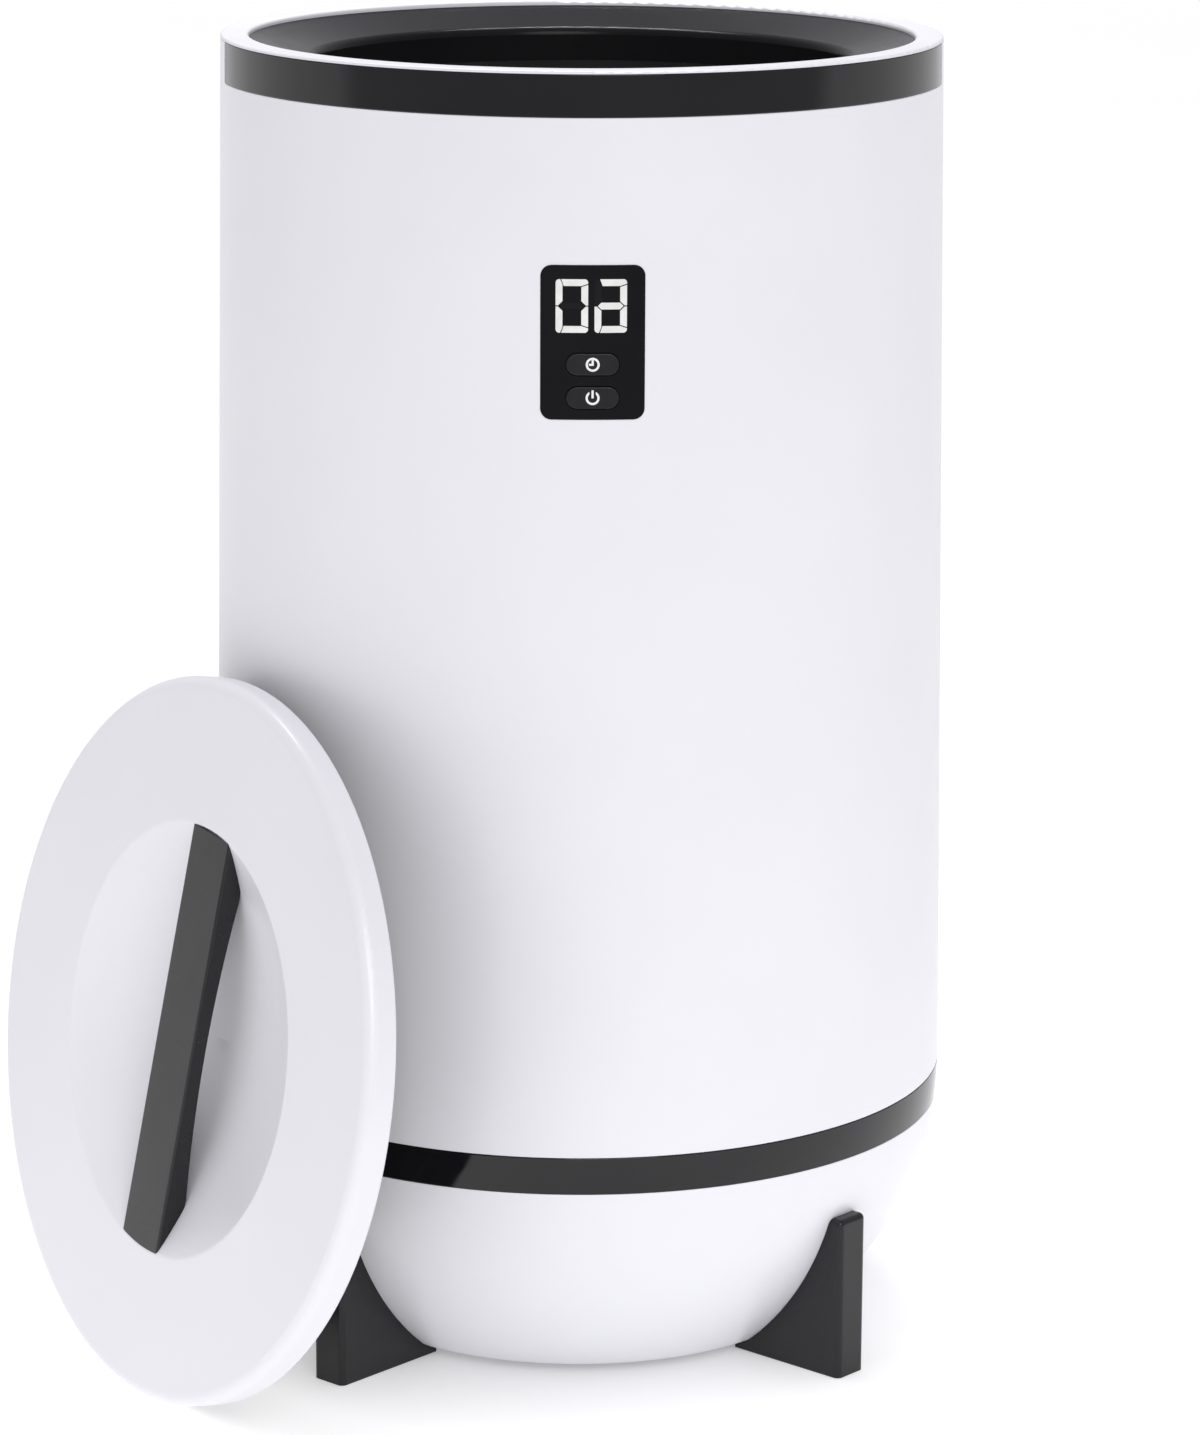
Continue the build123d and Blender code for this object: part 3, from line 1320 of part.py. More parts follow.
plug_back = lid_back - plug_depth
groove_low = lid_back - gasket_level - gasket_height
with BuildPart() as lid_liner:
    with BuildSketch(lid_section):
        with BuildLine():
            Polyline(
                (cover_radius, lid_back),
                (plug_radius, lid_back),
                (plug_radius, lid_back - gasket_level),
                (plug_radius - gasket_groove, lid_back - gasket_level),
                (plug_radius - gasket_groove, groove_low),
                (plug_radius, groove_low),
                (plug_radius, plug_back),
                (0, plug_back),
                (0, plug_back + plug_wall),
                (plug_radius - 2 * plug_wall, plug_back + plug_wall),
                (plug_radius - 2 * plug_wall, lid_back + plug_wall),
                (cover_radius, lid_back + plug_wall),
                close=True,
            )
        make_face()
    revolve(axis=lid_axis)
    plug_edge = lid_liner.edges().filter_by(GeomType.CIRCLE).filter_by(
        lambda e: abs(e.radius - plug_radius) < 0.01
    )
    fillet(plug_edge.sort_by(Axis(lid_centre, lid_normal))[0], plug_round * 0.98)
    with BuildSketch(lid_plane.offset(lid_back - 1)):
        with PolarLocations(lid_boss_circle, lid_screw_count):
            Circle(lid_screw / 2 + nest_gap)
    extrude(amount=plug_wall + 2, mode=Mode.SUBTRACT)
lid_liner.part.label = "lid_liner"
export_step(lid_liner.part, "parts/lid_liner.step")

with BuildPart() as lid_gasket:
    with BuildSketch(lid_section):
        with Locations((plug_radius - gasket_groove + seat_gap, groove_low + seat_gap)):
            Rectangle(
                gasket_radius - plug_radius + gasket_groove - seat_gap,
                gasket_height - 2 * seat_gap,
                align=(Align.MIN, Align.MIN),
            )
    revolve(axis=lid_axis)
    gasket_edges = lid_gasket.edges().filter_by(GeomType.CIRCLE).sort_by(SortBy.RADIUS)[-2:]
    fillet(gasket_edges, gasket_height * 0.3)
lid_gasket.part.label = "lid_gasket"
export_step(lid_gasket.part, "parts/lid_gasket.step")

with BuildPart() as lid_insulation:
    with BuildSketch(lid_section):
        foam_outer = plug_radius - 2 * plug_wall - nest_gap
        with Locations((foam_outer - lid_foam_wall, plug_back + plug_wall + seat_gap)):
            Rectangle(
                lid_foam_wall,
                lid_rim_height + plug_depth - plug_wall - lid_wall - 2 * seat_gap,
                align=(Align.MIN, Align.MIN),
            )
    revolve(axis=lid_axis)
lid_insulation.part.label = "lid_insulation"
export_step(lid_insulation.part, "parts/lid_insulation.step")

with BuildPart() as lid_screws:
    for step in range(lid_screw_count):
        place = Vector(lid_boss_circle, 0, 0).rotate(Axis.Z, 360 / lid_screw_count * step)
        spot = lid_centre + lid_plane.x_dir * place.X + lid_plane.y_dir * place.Y
        seat = Plane(
            origin=spot + lid_normal * (lid_back - seat_gap), x_dir=lid_plane.x_dir, z_dir=lid_normal
        )
        add_screw(seat, lid_screw, lid_screw_length)
lid_screws.part.label = "lid_screws"
export_step(lid_screws.part, "parts/lid_screws.step")
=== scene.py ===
import bmesh
import bpy
import json
import numpy as np
from math import radians
from mathutils import Matrix, Vector


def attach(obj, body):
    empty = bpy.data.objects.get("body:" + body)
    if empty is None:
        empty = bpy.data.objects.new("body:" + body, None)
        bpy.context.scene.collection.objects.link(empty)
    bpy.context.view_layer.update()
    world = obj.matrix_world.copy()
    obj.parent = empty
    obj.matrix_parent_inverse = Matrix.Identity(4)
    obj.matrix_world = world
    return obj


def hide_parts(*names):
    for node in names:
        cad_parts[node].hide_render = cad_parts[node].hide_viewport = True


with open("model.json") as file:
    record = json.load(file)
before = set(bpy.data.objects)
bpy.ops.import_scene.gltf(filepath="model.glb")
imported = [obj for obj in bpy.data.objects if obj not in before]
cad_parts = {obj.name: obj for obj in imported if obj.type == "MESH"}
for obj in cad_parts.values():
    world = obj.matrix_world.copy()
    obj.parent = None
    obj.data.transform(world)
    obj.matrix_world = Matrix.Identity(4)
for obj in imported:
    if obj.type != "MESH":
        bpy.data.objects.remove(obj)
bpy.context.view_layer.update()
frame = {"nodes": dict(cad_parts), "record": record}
cadNodes = frame["nodes"]
scene = bpy.context.scene
print("frame loaded:", len(cadNodes), "CAD nodes")


photoView = {
    "place": (-0.0612, -1.9932, 0.7241),
    "turn": -2.0,  # degrees, about the bucket's axis
    "pitch": 13.5,  # looks down
    "roll": 0.29,
    "lens": 126.65,  # for the image's long side
    "sensor": 36,
}
cameraData = bpy.data.cameras.new("photoCamera")
cameraData.lens = photoView["lens"]
cameraData.sensor_width = photoView["sensor"]
camera = bpy.data.objects.new("photoCamera", cameraData)
scene.collection.objects.link(camera)
camera.matrix_world = (
    Matrix.Translation(photoView["place"])
    @ Matrix.Rotation(radians(photoView["turn"]), 4, "Z")
    @ Matrix.Rotation(radians(90 - photoView["pitch"]), 4, "X")
    @ Matrix.Rotation(radians(photoView["roll"]), 4, "Z")
)
scene.camera = camera
scene.view_settings.view_transform = "Standard"  # keeps the whites white

studio = {
    "world": (0.975, 0.965, 1.0),
    "worldStrength": 0.6,
    "lights": {  # place, where it points, width, height, beam in degrees, watts
        "frontSoftbox": ((0.5, -3.2, 2.0), (0.0, 0.0, 0.1), 1.8, 1.8, 60, 6.4),
        "rimStrip": ((-0.06, 0.5, 1.5), (0.0, 0.05, 0.5), 0.8, 0.02, 60, 1.4),
    },
}
world = bpy.data.worlds.new("softStudio")
world.use_nodes = True
background = world.node_tree.nodes["Background"]
background.inputs["Color"].default_value = (*studio["world"], 1)
background.inputs["Strength"].default_value = studio["worldStrength"]
scene.world = world


def hangLight(name, place, target, width, height, beam, watts):
    data = bpy.data.lights.new(name, "AREA")
    data.shape = "RECTANGLE"
    data.size, data.size_y = width, height
    data.spread = radians(beam)
    data.energy = watts
    lamp = bpy.data.objects.new(name, data)
    lamp.location = place
    lamp.rotation_euler = (Vector(target) - Vector(place)).to_track_quat("-Z", "Y").to_euler()
    scene.collection.objects.link(lamp)


for lightName, settings in studio["lights"].items():
    hangLight(lightName, *settings)
print("studio set up:", len(studio["lights"]), "lights")


noiseLow, noiseHigh = 0.3, 0.7  # between which most of a noise texture's values lie


def startFinish(name):
    material = bpy.data.materials.new(name)
    material.use_nodes = True
    tree = material.node_tree
    tree.nodes["Principled BSDF"].distribution = "MULTI_GGX"
    return material, tree, tree.nodes["Principled BSDF"]


def objectCoords(tree, stretch=(1, 1, 1)):
    coords = tree.nodes.new("ShaderNodeTexCoord")
    mapping = tree.nodes.new("ShaderNodeMapping")
    mapping.inputs["Scale"].default_value = stretch
    tree.links.new(coords.outputs["Object"], mapping.inputs["Vector"])
    return mapping.outputs["Vector"]


def noise(tree, coords, scale, detail, roughness=0.5):
    texture = tree.nodes.new("ShaderNodeTexNoise")
    texture.inputs["Scale"].default_value = scale
    texture.inputs["Detail"].default_value = detail
    texture.inputs["Roughness"].default_value = roughness
    tree.links.new(coords, texture.inputs["Vector"])
    return texture.outputs["Fac"]


def cells(tree, coords, scale, feature="F1"):
    texture = tree.nodes.new("ShaderNodeTexVoronoi")
    texture.feature = feature
    texture.inputs["Scale"].default_value = scale
    tree.links.new(coords, texture.inputs["Vector"])
    return texture.outputs["Distance"]


def stripes(tree, coords, scale, direction, distortion=0.0):
    texture = tree.nodes.new("ShaderNodeTexWave")
    texture.bands_direction = direction
    texture.inputs["Scale"].default_value = scale
    texture.inputs["Distortion"].default_value = distortion
    tree.links.new(coords, texture.inputs["Vector"])
    return texture.outputs["Fac"]


def colourRamp(tree, fac, stops):
    ramp = tree.nodes.new("ShaderNodeValToRGB")
    points = ramp.color_ramp.elements
    for point, (position, colour) in zip(points, stops, strict=True):
        point.position = position
        point.color = (*colour, 1)
    tree.links.new(fac, ramp.inputs["Fac"])
    return ramp.outputs["Color"]


def tint(tree, shader, fac, stops, socket="Base Color"):
    tree.links.new(colourRamp(tree, fac, stops), shader.inputs[socket])


def spread(tree, fac, low, high, fromLow=noiseLow, fromHigh=noiseHigh):
    scaler = tree.nodes.new("ShaderNodeMapRange")
    scaler.inputs["From Min"].default_value = fromLow
    scaler.inputs["From Max"].default_value = fromHigh
    scaler.inputs["To Min"].default_value = low
    scaler.inputs["To Max"].default_value = high
    tree.links.new(fac, scaler.inputs["Value"])
    return scaler.outputs["Result"]


def polish(tree, shader, fac, gloss):
    tree.links.new(spread(tree, fac, *gloss), shader.inputs["Roughness"])


def bump(tree, shader, height, depth, strength, under=None):
    node = tree.nodes.new("ShaderNodeBump")
    node.inputs["Strength"].default_value = strength
    node.inputs["Distance"].default_value = depth
    tree.links.new(height, node.inputs["Height"])
    if under is not None:
        tree.links.new(under, node.inputs["Normal"])
    tree.links.new(node.outputs["Normal"], shader.inputs["Normal"])
    return node.outputs["Normal"]


mouldSettings = {
    "mottleDetail": 4,
    "marksPerMottle": 3.1,  # how much finer the handling marks are
    "marksDetail": 6,
    "marksRoughness": 0.6,
    "grainDetail": 2,
    "grainStrength": 0.8,
    "grainPerWave": 12,  # how much wider the mould's waves are than its grain
    "waveDepth": 2.5,  # of the grain's
    "waveStrength": 0.6,
}


# plastic from a mould: a faint mottle, a grain, and handling marks in its gloss
def moulded(name, dark, light, gloss, grain, depth, mottle=14, specular=0.5, ior=1.5):
    mould = mouldSettings
    material, tree, shader = startFinish(name)
    coords = objectCoords(tree)
    cloud = noise(tree, coords, mottle, mould["mottleDetail"])
    tint(tree, shader, cloud, [(noiseLow, dark), (noiseHigh, light)])
    finer = mottle * mould["marksPerMottle"]
    marks = noise(tree, coords, finer, mould["marksDetail"], mould["marksRoughness"])
    polish(tree, shader, marks, gloss)
    shader.inputs["Specular IOR Level"].default_value = specular
    shader.inputs["IOR"].default_value = ior
    swell = noise(tree, coords, grain / mould["grainPerWave"], mould["grainDetail"])
    waves = bump(tree, shader, swell, depth * mould["waveDepth"], mould["waveStrength"])
    pores = noise(tree, coords, grain, mould["grainDetail"])
    bump(tree, shader, pores, depth, mould["grainStrength"], waves)
    return material


mouldedLooks = {  # by the record's slot; gloss is the roughness from low to high, depth is in metres
    "white_plastic": {
        "name": "whitePlastic",
        "dark": (0.80, 0.796, 0.836),
        "light": (0.82, 0.816, 0.855),
        "gloss": (0.28, 0.34),
        "grain": 700,
        "depth": 0.000003,
    },
    "gloss_black": {
        "name": "glossBlack",
        "dark": (0.003, 0.003, 0.004),
        "light": (0.006, 0.006, 0.007),
        "gloss": (0.05, 0.10),
        "grain": 500,
        "depth": 0.000002,
        "specular": 0.45,
    },
    "satin_black": {
        "name": "satinBlack",
        "dark": (0.008, 0.008, 0.009),
        "light": (0.013, 0.013, 0.014),
        "gloss": (0.18, 0.24),
        "grain": 1400,
        "depth": 0.000003,
        "specular": 0.2,
        "ior": 1.28,
    },
    "grey_plastic": {
        "name": "greyPlastic",
        "dark": (0.12, 0.12, 0.125),
        "light": (0.16, 0.16, 0.165),
        "gloss": (0.45, 0.6),
        "grain": 700,
        "depth": 0.00006,
    },
    "foot_black": {
        "name": "footBlack",
        "dark": (0.006, 0.006, 0.007),
        "light": (0.010, 0.010, 0.011),
        "gloss": (0.18, 0.26),
        "grain": 1100,
        "depth": 0.000003,
        "specular": 0.36,
    },
    "component_black": {
        "name": "componentBlack",
        "dark": (0.012, 0.012, 0.012),
        "light": (0.03, 0.03, 0.03),
        "gloss": (0.4, 0.6),
        "grain": 1500,
        "depth": 0.00005,
    },
    "terminal_green": {
        "name": "terminalGreen",
        "dark": (0.02, 0.14, 0.05),
        "light": (0.04, 0.22, 0.09),
        "gloss": (0.35, 0.5),
        "grain": 900,
        "depth": 0.00004,
    },
    "button_grey": {
        "name": "buttonGrey",
        "dark": (0.006, 0.006, 0.007),
        "light": (0.009, 0.009, 0.010),
        "gloss": (0.26, 0.36),
        "grain": 1800,
        "depth": 0.000003,
        "mottle": 60,
        "specular": 0.35,
    },
    "icon_white": {
        "name": "iconWhite",
        "dark": (0.84, 0.84, 0.85),
        "light": (0.90, 0.90, 0.91),
        "gloss": (0.4, 0.5),
        "grain": 1800,
        "depth": 0.000003,
        "mottle": 200,
    },
    "cover_black": {
        "name": "coverBlack",
        "dark": (0.014, 0.014, 0.015),
        "light": (0.026, 0.026, 0.027),
        "gloss": (0.38, 0.52),
        "grain": 1200,
        "depth": 0.00002,
    },
    "handle_black": {
        "name": "handleBlack",
        "dark": (0.006, 0.006, 0.007),
        "light": (0.011, 0.011, 0.012),
        "gloss": (0.24, 0.32),
        "grain": 1300,
        "depth": 0.000006,
        "specular": 0.42,
    },
    "panel_gloss": {
        "name": "panelGloss",
        "dark": (0.002, 0.002, 0.003),
        "light": (0.004, 0.004, 0.005),
        "gloss": (0.03, 0.06),
        "grain": 400,
        "depth": 0.000001,
        "mottle": 40,
        "specular": 0.25,
    },
    "unlit_smoke": {
        "name": "unlitSmoke",
        "dark": (0.005, 0.005, 0.006),
        "light": (0.008, 0.008, 0.009),
        "gloss": (0.04, 0.09),
        "grain": 400,
        "depth": 0.000002,
        "mottle": 80,
        "specular": 0.25,
    },
}


streakSettings = {
    "detail": 5,
    "roughness": 0.65,
    "low": 0.25,
    "high": 0.75,
    "strength": 0.7,
}


# brushed or cast metal: streaks along one way, dull and bright
def metal(name, dark, light, gloss, stretch, scale, depth):
    streak = streakSettings
    material, tree, shader = startFinish(name)
    coords = objectCoords(tree, stretch)
    streaks = noise(tree, coords, scale, streak["detail"], streak["roughness"])
    tint(tree, shader, streaks, [(streak["low"], dark), (streak["high"], light)])
    polish(tree, shader, streaks, gloss)
    shader.inputs["Metallic"].default_value = 1.0
    bump(tree, shader, streaks, depth, streak["strength"])
    return material


metalLooks = {
    "heater_plate": {
        "name": "heaterPlate",
        "dark": (0.42, 0.42, 0.43),
        "light": (0.62, 0.62, 0.63),
        "gloss": (0.35, 0.6),
        "stretch": (1, 1, 1),
        "scale": 160,
        "depth": 0.0001,
    },
    "bare_metal": {
        "name": "bareMetal",
        "dark": (0.45, 0.45, 0.45),
        "light": (0.62, 0.62, 0.61),
        "gloss": (0.22, 0.4),
        "stretch": (1, 9, 1),
        "scale": 220,
        "depth": 0.00003,
    },
    "screw_steel": {
        "name": "screwSteel",
        "dark": (0.48, 0.48, 0.47),
        "light": (0.66, 0.66, 0.65),
        "gloss": (0.2, 0.36),
        "stretch": (6, 1, 1),
        "scale": 420,
        "depth": 0.00003,
    },
}

finishes = {slot: moulded(**look) for slot, look in mouldedLooks.items()}
finishes.update({slot: metal(**look) for slot, look in metalLooks.items()})


# in the looks below, a noise is its scale, its detail and in some its roughness
# and a relief is its depth in metres and its strength
coatingLook = {
    "fleckScale": 620,
    "ramp": [(0.05, (0.07, 0.07, 0.072)), (0.16, (0.022, 0.022, 0.023))],
    "marks": (40, 5),
    "gloss": (0.12, 0.26),
    "grain": (500, 3),
    "relief": (0.00003, 0.7),
}


# non-stick coat on the bucket's aluminium: near black, with fine pale flecks
def linerCoating(name, look):
    material, tree, shader = startFinish(name)
    coords = objectCoords(tree)
    tint(tree, shader, cells(tree, coords, look["fleckScale"]), look["ramp"])
    polish(tree, shader, noise(tree, coords, *look["marks"]), look["gloss"])
    bump(tree, shader, noise(tree, coords, *look["grain"]), *look["relief"])
    return material


foilLook = {
    "creaseScale": 90,
    # colour from the crease lines (dark) to the faces between them (pale): painted shade in the creases
    "ramp": [(0.0, (0.5, 0.5, 0.5)), (0.3, (0.72, 0.72, 0.72))],
    "marks": (300, 4),
    "gloss": (0.18, 0.4),
    "wireScale": 22,
    "wireRelief": (0.0006, 0.6),
    "creaseRelief": (0.0004, 0.6),
}


# crinkled aluminium foil over the heating mat, with the wire's ridges under it and painted shade along
# its crease lines
def foil(name, look):
    material, tree, shader = startFinish(name)
    coords = objectCoords(tree)
    creases = cells(tree, coords, look["creaseScale"], "DISTANCE_TO_EDGE")
    # painted shade: the crease lines are coloured darker than the faces
    tint(tree, shader, creases, look["ramp"])
    shader.inputs["Metallic"].default_value = 1.0
    polish(tree, shader, noise(tree, coords, *look["marks"]), look["gloss"])
    wires = stripes(tree, coords, look["wireScale"], "Z")
    ridges = bump(tree, shader, wires, *look["wireRelief"])
    bump(tree, shader, creases, *look["creaseRelief"], ridges)
    return material


feltLook = {
    "stretch": (1, 1, 2.4),
    "fibres": (700, 8, 0.75),
    "ramp": [(0.3, (0.40, 0.38, 0.33)), (0.62, (0.70, 0.67, 0.60))],
    "roughness": 0.95,
    "sheen": 0.4,
    "relief": (0.0005, 0.9),
}


# loose needled felt: tangled pale fibres with a dry sheen
def felt(name, look):
    material, tree, shader = startFinish(name)
    coords = objectCoords(tree, look["stretch"])
    fibres = noise(tree, coords, *look["fibres"])
    tint(tree, shader, fibres, look["ramp"])
    shader.inputs["Roughness"].default_value = look["roughness"]
    shader.inputs["Sheen Weight"].default_value = look["sheen"]
    bump(tree, shader, fibres, *look["relief"])
    return material


rubberSettings = {
    "bloom": (60, 6, 0.6),
    "low": 0.35,
    "high": 0.7,
    "gloss": (0.62, 0.85),
    "ribRelief": (0.00015, 0.5),
    "grain": (1600, 2),
    "grainRelief": (0.00004, 0.8),
}


# matte rubber with fine moulded ribs and a dusty bloom
def rubber(name, dark, light, ribScale, direction):
    settings = rubberSettings
    material, tree, shader = startFinish(name)
    coords = objectCoords(tree)
    bloom = noise(tree, coords, *settings["bloom"])
    tint(tree, shader, bloom, [(settings["low"], dark), (settings["high"], light)])
    polish(tree, shader, bloom, settings["gloss"])
    ribs = bump(tree, shader, stripes(tree, coords, ribScale, direction), *settings["ribRelief"])
    bump(tree, shader, noise(tree, coords, *settings["grain"]), *settings["grainRelief"], ribs)
    return material


rubberLooks = {
    "pad_rubber": {
        "name": "padRubber",
        "dark": (0.012, 0.012, 0.012),
        "light": (0.03, 0.03, 0.03),
        "ribScale": 160,
        "direction": "DIAGONAL",
    },
    "lead_rubber": {
        "name": "leadRubber",
        "dark": (0.012, 0.012, 0.013),
        "light": (0.028, 0.028, 0.03),
        "ribScale": 90,
        "direction": "Z",
    },
    "gasket_rubber": {
        "name": "gasketRubber",
        "dark": (0.014, 0.014, 0.014),
        "light": (0.03, 0.03, 0.03),
        "ribScale": 140,
        "direction": "Z",
    },
}


boardLook = {
    "traceScale": 180,
    "traceRamp": [(0.02, (0.05, 0.26, 0.11)), (0.08, (0.015, 0.11, 0.045))],
    "dotScale": 330,
    "dotRamp": [(0.10, (1, 1, 1)), (0.13, (0, 0, 0))],
    "tin": (0.55, 0.55, 0.52, 1),
    "marks": (90, 3),
    "gloss": (0.25, 0.4),
    "relief": (0.00008, 0.5),
}


# circuit board: green mask over copper traces, with tinned dots
def solderMask(name, look):
    material, tree, shader = startFinish(name)
    coords = objectCoords(tree)
    traces = cells(tree, coords, look["traceScale"], "DISTANCE_TO_EDGE")
    dots = cells(tree, coords, look["dotScale"])
    mixer = tree.nodes.new("ShaderNodeMix")
    mixer.data_type = "RGBA"
    mixer.inputs["B"].default_value = look["tin"]
    tree.links.new(colourRamp(tree, dots, look["dotRamp"]), mixer.inputs["Factor"])
    tree.links.new(colourRamp(tree, traces, look["traceRamp"]), mixer.inputs["A"])
    tree.links.new(mixer.outputs["Result"], shader.inputs["Base Color"])
    polish(tree, shader, noise(tree, coords, *look["marks"]), look["gloss"])
    bump(tree, shader, traces, *look["relief"])
    return material


coreLook = {
    "sheets": (320, "Y", 0.4),  # scale, across, distortion
    "ramp": [(0.2, (0.07, 0.05, 0.02)), (0.8, (0.2, 0.15, 0.07))],
    "marks": (120, 4),
    "gloss": (0.2, 0.45),
    "relief": (0.0001, 0.7),
}
ribbonLook = {
    "sheets": (250, "X"),
    "ramp": [(0.1, (0.16, 0.16, 0.17)), (0.6, (0.34, 0.34, 0.36))],
    "marks": (80, 3),
    "gloss": (0.4, 0.55),
    "relief": (0.0003, 0.8),
}


# side by side: the varnished sheets of a transformer core, or the wires of a flat cable
def layered(name, look):
    material, tree, shader = startFinish(name)
    coords = objectCoords(tree)
    sheets = stripes(tree, coords, *look["sheets"])
    tint(tree, shader, sheets, look["ramp"])
    polish(tree, shader, noise(tree, coords, *look["marks"]), look["gloss"])
    bump(tree, shader, sheets, *look["relief"])
    return material


digitLook = {
    "glow": (260, 2),
    "base": [(noiseLow, (0.48, 0.48, 0.47)), (noiseHigh, (0.54, 0.54, 0.53))],
    "emission": [(noiseLow, (0.84, 0.84, 0.80)), (noiseHigh, (0.94, 0.94, 0.90))],
    "strength": 0.34,
    "marks": (900, 2),
    "gloss": (0.16, 0.24),
}


# digit stroke that glows through a milky diffuser, a little uneven
def litDiffuser(name, look):
    material, tree, shader = startFinish(name)
    coords = objectCoords(tree)
    glow = noise(tree, coords, *look["glow"])
    tint(tree, shader, glow, look["base"])
    tint(tree, shader, glow, look["emission"], "Emission Color")
    shader.inputs["Emission Strength"].default_value = look["strength"]
    polish(tree, shader, noise(tree, coords, *look["marks"]), look["gloss"])
    return material


finishes["coated_aluminium"] = linerCoating("linerCoating", coatingLook)
finishes["heater_foil"] = foil("heaterFoil", foilLook)
finishes["insulation_felt"] = felt("insulationFelt", feltLook)
finishes.update({slot: rubber(**look) for slot, look in rubberLooks.items()})
finishes["circuit_board"] = solderMask("solderMask", boardLook)
finishes["transformer_core"] = layered("coreLaminations", coreLook)
finishes["ribbon_grey"] = layered("ribbonWires", ribbonLook)
finishes["lit_white"] = litDiffuser("litDiffuser", digitLook)

slotOf = {part["node"]: part["material_slot"] for part in frame["record"]["subparts"]}
for nodeName, node in cadNodes.items():
    node.data.materials.clear()
    node.data.materials.append(finishes[slotOf[nodeName]])
print("finishes given:", len(finishes))


bodies = frame["record"]["behaviour"]["bodies"]
bodyOf = {node: body for body, nodes in bodies.items() for node in nodes}


# trees of Geometry Nodes: their sizes come in by name, and one copy is set on each seed point
def startTree(name, sizes):
    tree = bpy.data.node_groups.new(name, "GeometryNodeTree")
    tree.is_modifier = True
    tree.interface.new_socket("Seeds", in_out="INPUT", socket_type="NodeSocketGeometry")
    for label, value in sizes.items():
        kind = "NodeSocketInt" if isinstance(value, int) else "NodeSocketFloat"
        tree.interface.new_socket(label, in_out="INPUT", socket_type=kind).default_value = value
    tree.interface.new_socket("Finish", in_out="INPUT", socket_type="NodeSocketMaterial")
    tree.interface.new_socket("Geometry", in_out="OUTPUT", socket_type="NodeSocketGeometry")
    given = tree.nodes.new("NodeGroupInput").outputs
    return tree, given, [given[label] for label in sizes]


def addNode(tree, kind, inputs, **settings):
    node = tree.nodes.new(kind)
    for setting, value in settings.items():
        setattr(node, setting, value)
    for label, value in inputs.items():
        for item in value if isinstance(value, list) else [value]:
            if isinstance(item, bpy.types.NodeSocket):
                tree.links.new(item, node.inputs[label])
            else:
                node.inputs[label].default_value = item
    return node.outputs[0]


def calc(tree, operation, first, second):
    return addNode(tree, "ShaderNodeMath", {0: first, 1: second}, operation=operation)


def along(tree, **parts):
    return addNode(tree, "ShaderNodeCombineXYZ", parts)


def moved(tree, shape, **changes):
    return addNode(tree, "GeometryNodeTransform", {"Geometry": shape, **changes})


def joined(tree, *shapes):
    return addNode(tree, "GeometryNodeJoinGeometry", {"Geometry": list(shapes)})


def copiedTo(tree, points, shape, **changes):
    return addNode(
        tree, "GeometryNodeInstanceOnPoints", {"Points": points, "Instance": shape, **changes}
    )


def circle(tree, sides, radius):
    return addNode(
        tree, "GeometryNodeCurvePrimitiveCircle", {"Resolution": sides, "Radius": radius}
    )


def rectangle(tree, width, height):
    return addNode(
        tree, "GeometryNodeCurvePrimitiveQuadrilateral", {"Width": width, "Height": height}
    )


def swept(tree, path, section, **changes):
    return addNode(
        tree, "GeometryNodeCurveToMesh", {"Curve": path, "Profile Curve": section, **changes}
    )


def endTree(tree, given, shape, axis):
    aim = addNode(tree, "GeometryNodeInputNamedAttribute", {"Name": "aim"}, data_type="FLOAT_VECTOR")
    turn = addNode(tree, "FunctionNodeAlignRotationToVector", {"Vector": aim}, axis=axis)
    copies = copiedTo(tree, given["Seeds"], shape, Rotation=turn)
    real = addNode(tree, "GeometryNodeRealizeInstances", {"Geometry": copies})
    finished = addNode(
        tree, "GeometryNodeSetMaterial", {"Geometry": real, "Material": given["Finish"]}
    )
    result = tree.nodes.new("NodeGroupOutput")
    tree.links.new(finished, result.inputs["Geometry"])
    return tree


sharpEdge = radians(32)  # grown pieces are smooth below it


def growPiece(name, tree, seeds, sizes, finish):
    points = bpy.data.meshes.new(name + "Seeds")
    points.from_pydata([place for place, aim in seeds], [], [])
    aims = points.attributes.new("aim", "FLOAT_VECTOR", "POINT")
    for item, (place, aim) in zip(aims.data, seeds):
        item.vector = aim
    piece = bpy.data.objects.new(name, points)
    scene.collection.objects.link(piece)
    modifier = piece.modifiers.new("grown", "NODES")
    modifier.node_group = tree
    for socket in tree.interface.items_tree:
        if socket.in_out == "INPUT" and socket.name in sizes:
            modifier[socket.identifier] = sizes[socket.name]
        elif socket.in_out == "INPUT" and socket.name == "Finish":
            modifier[socket.identifier] = finish
    evaluated = piece.evaluated_get(bpy.context.evaluated_depsgraph_get())
    grown = bpy.data.meshes.new_from_object(evaluated)
    piece.modifiers.remove(modifier)
    shape = bmesh.new()
    shape.from_mesh(grown)
    bmesh.ops.recalc_face_normals(shape, faces=shape.faces)
    shape.to_mesh(grown)
    shape.free()
    grown.shade_smooth()
    grown.set_sharp_from_angle(angle=sharpEdge)
    piece.data = grown
    bpy.data.meshes.remove(points)
    return piece


# each solid of a node as its own cloud of points
def pointClouds(nodeName):
    mesh = cadNodes[nodeName].data
    corners = np.empty(len(mesh.vertices) * 3)
    mesh.vertices.foreach_get("co", corners)
    unique, keys = np.unique(corners.reshape(-1, 3).round(6), axis=0, return_inverse=True)
    leader = list(range(len(unique)))

    def root(item):
        while leader[item] != item:
            leader[item] = leader[leader[item]]
            item = leader[item]
        return item

    for edge in mesh.edges:
        first, second = (root(int(keys.flat[corner])) for corner in edge.vertices)
        leader[first] = second
    groups = {}
    for item in range(len(unique)):
        groups.setdefault(root(item), []).append(item)
    return [unique[items] for items in groups.values()]


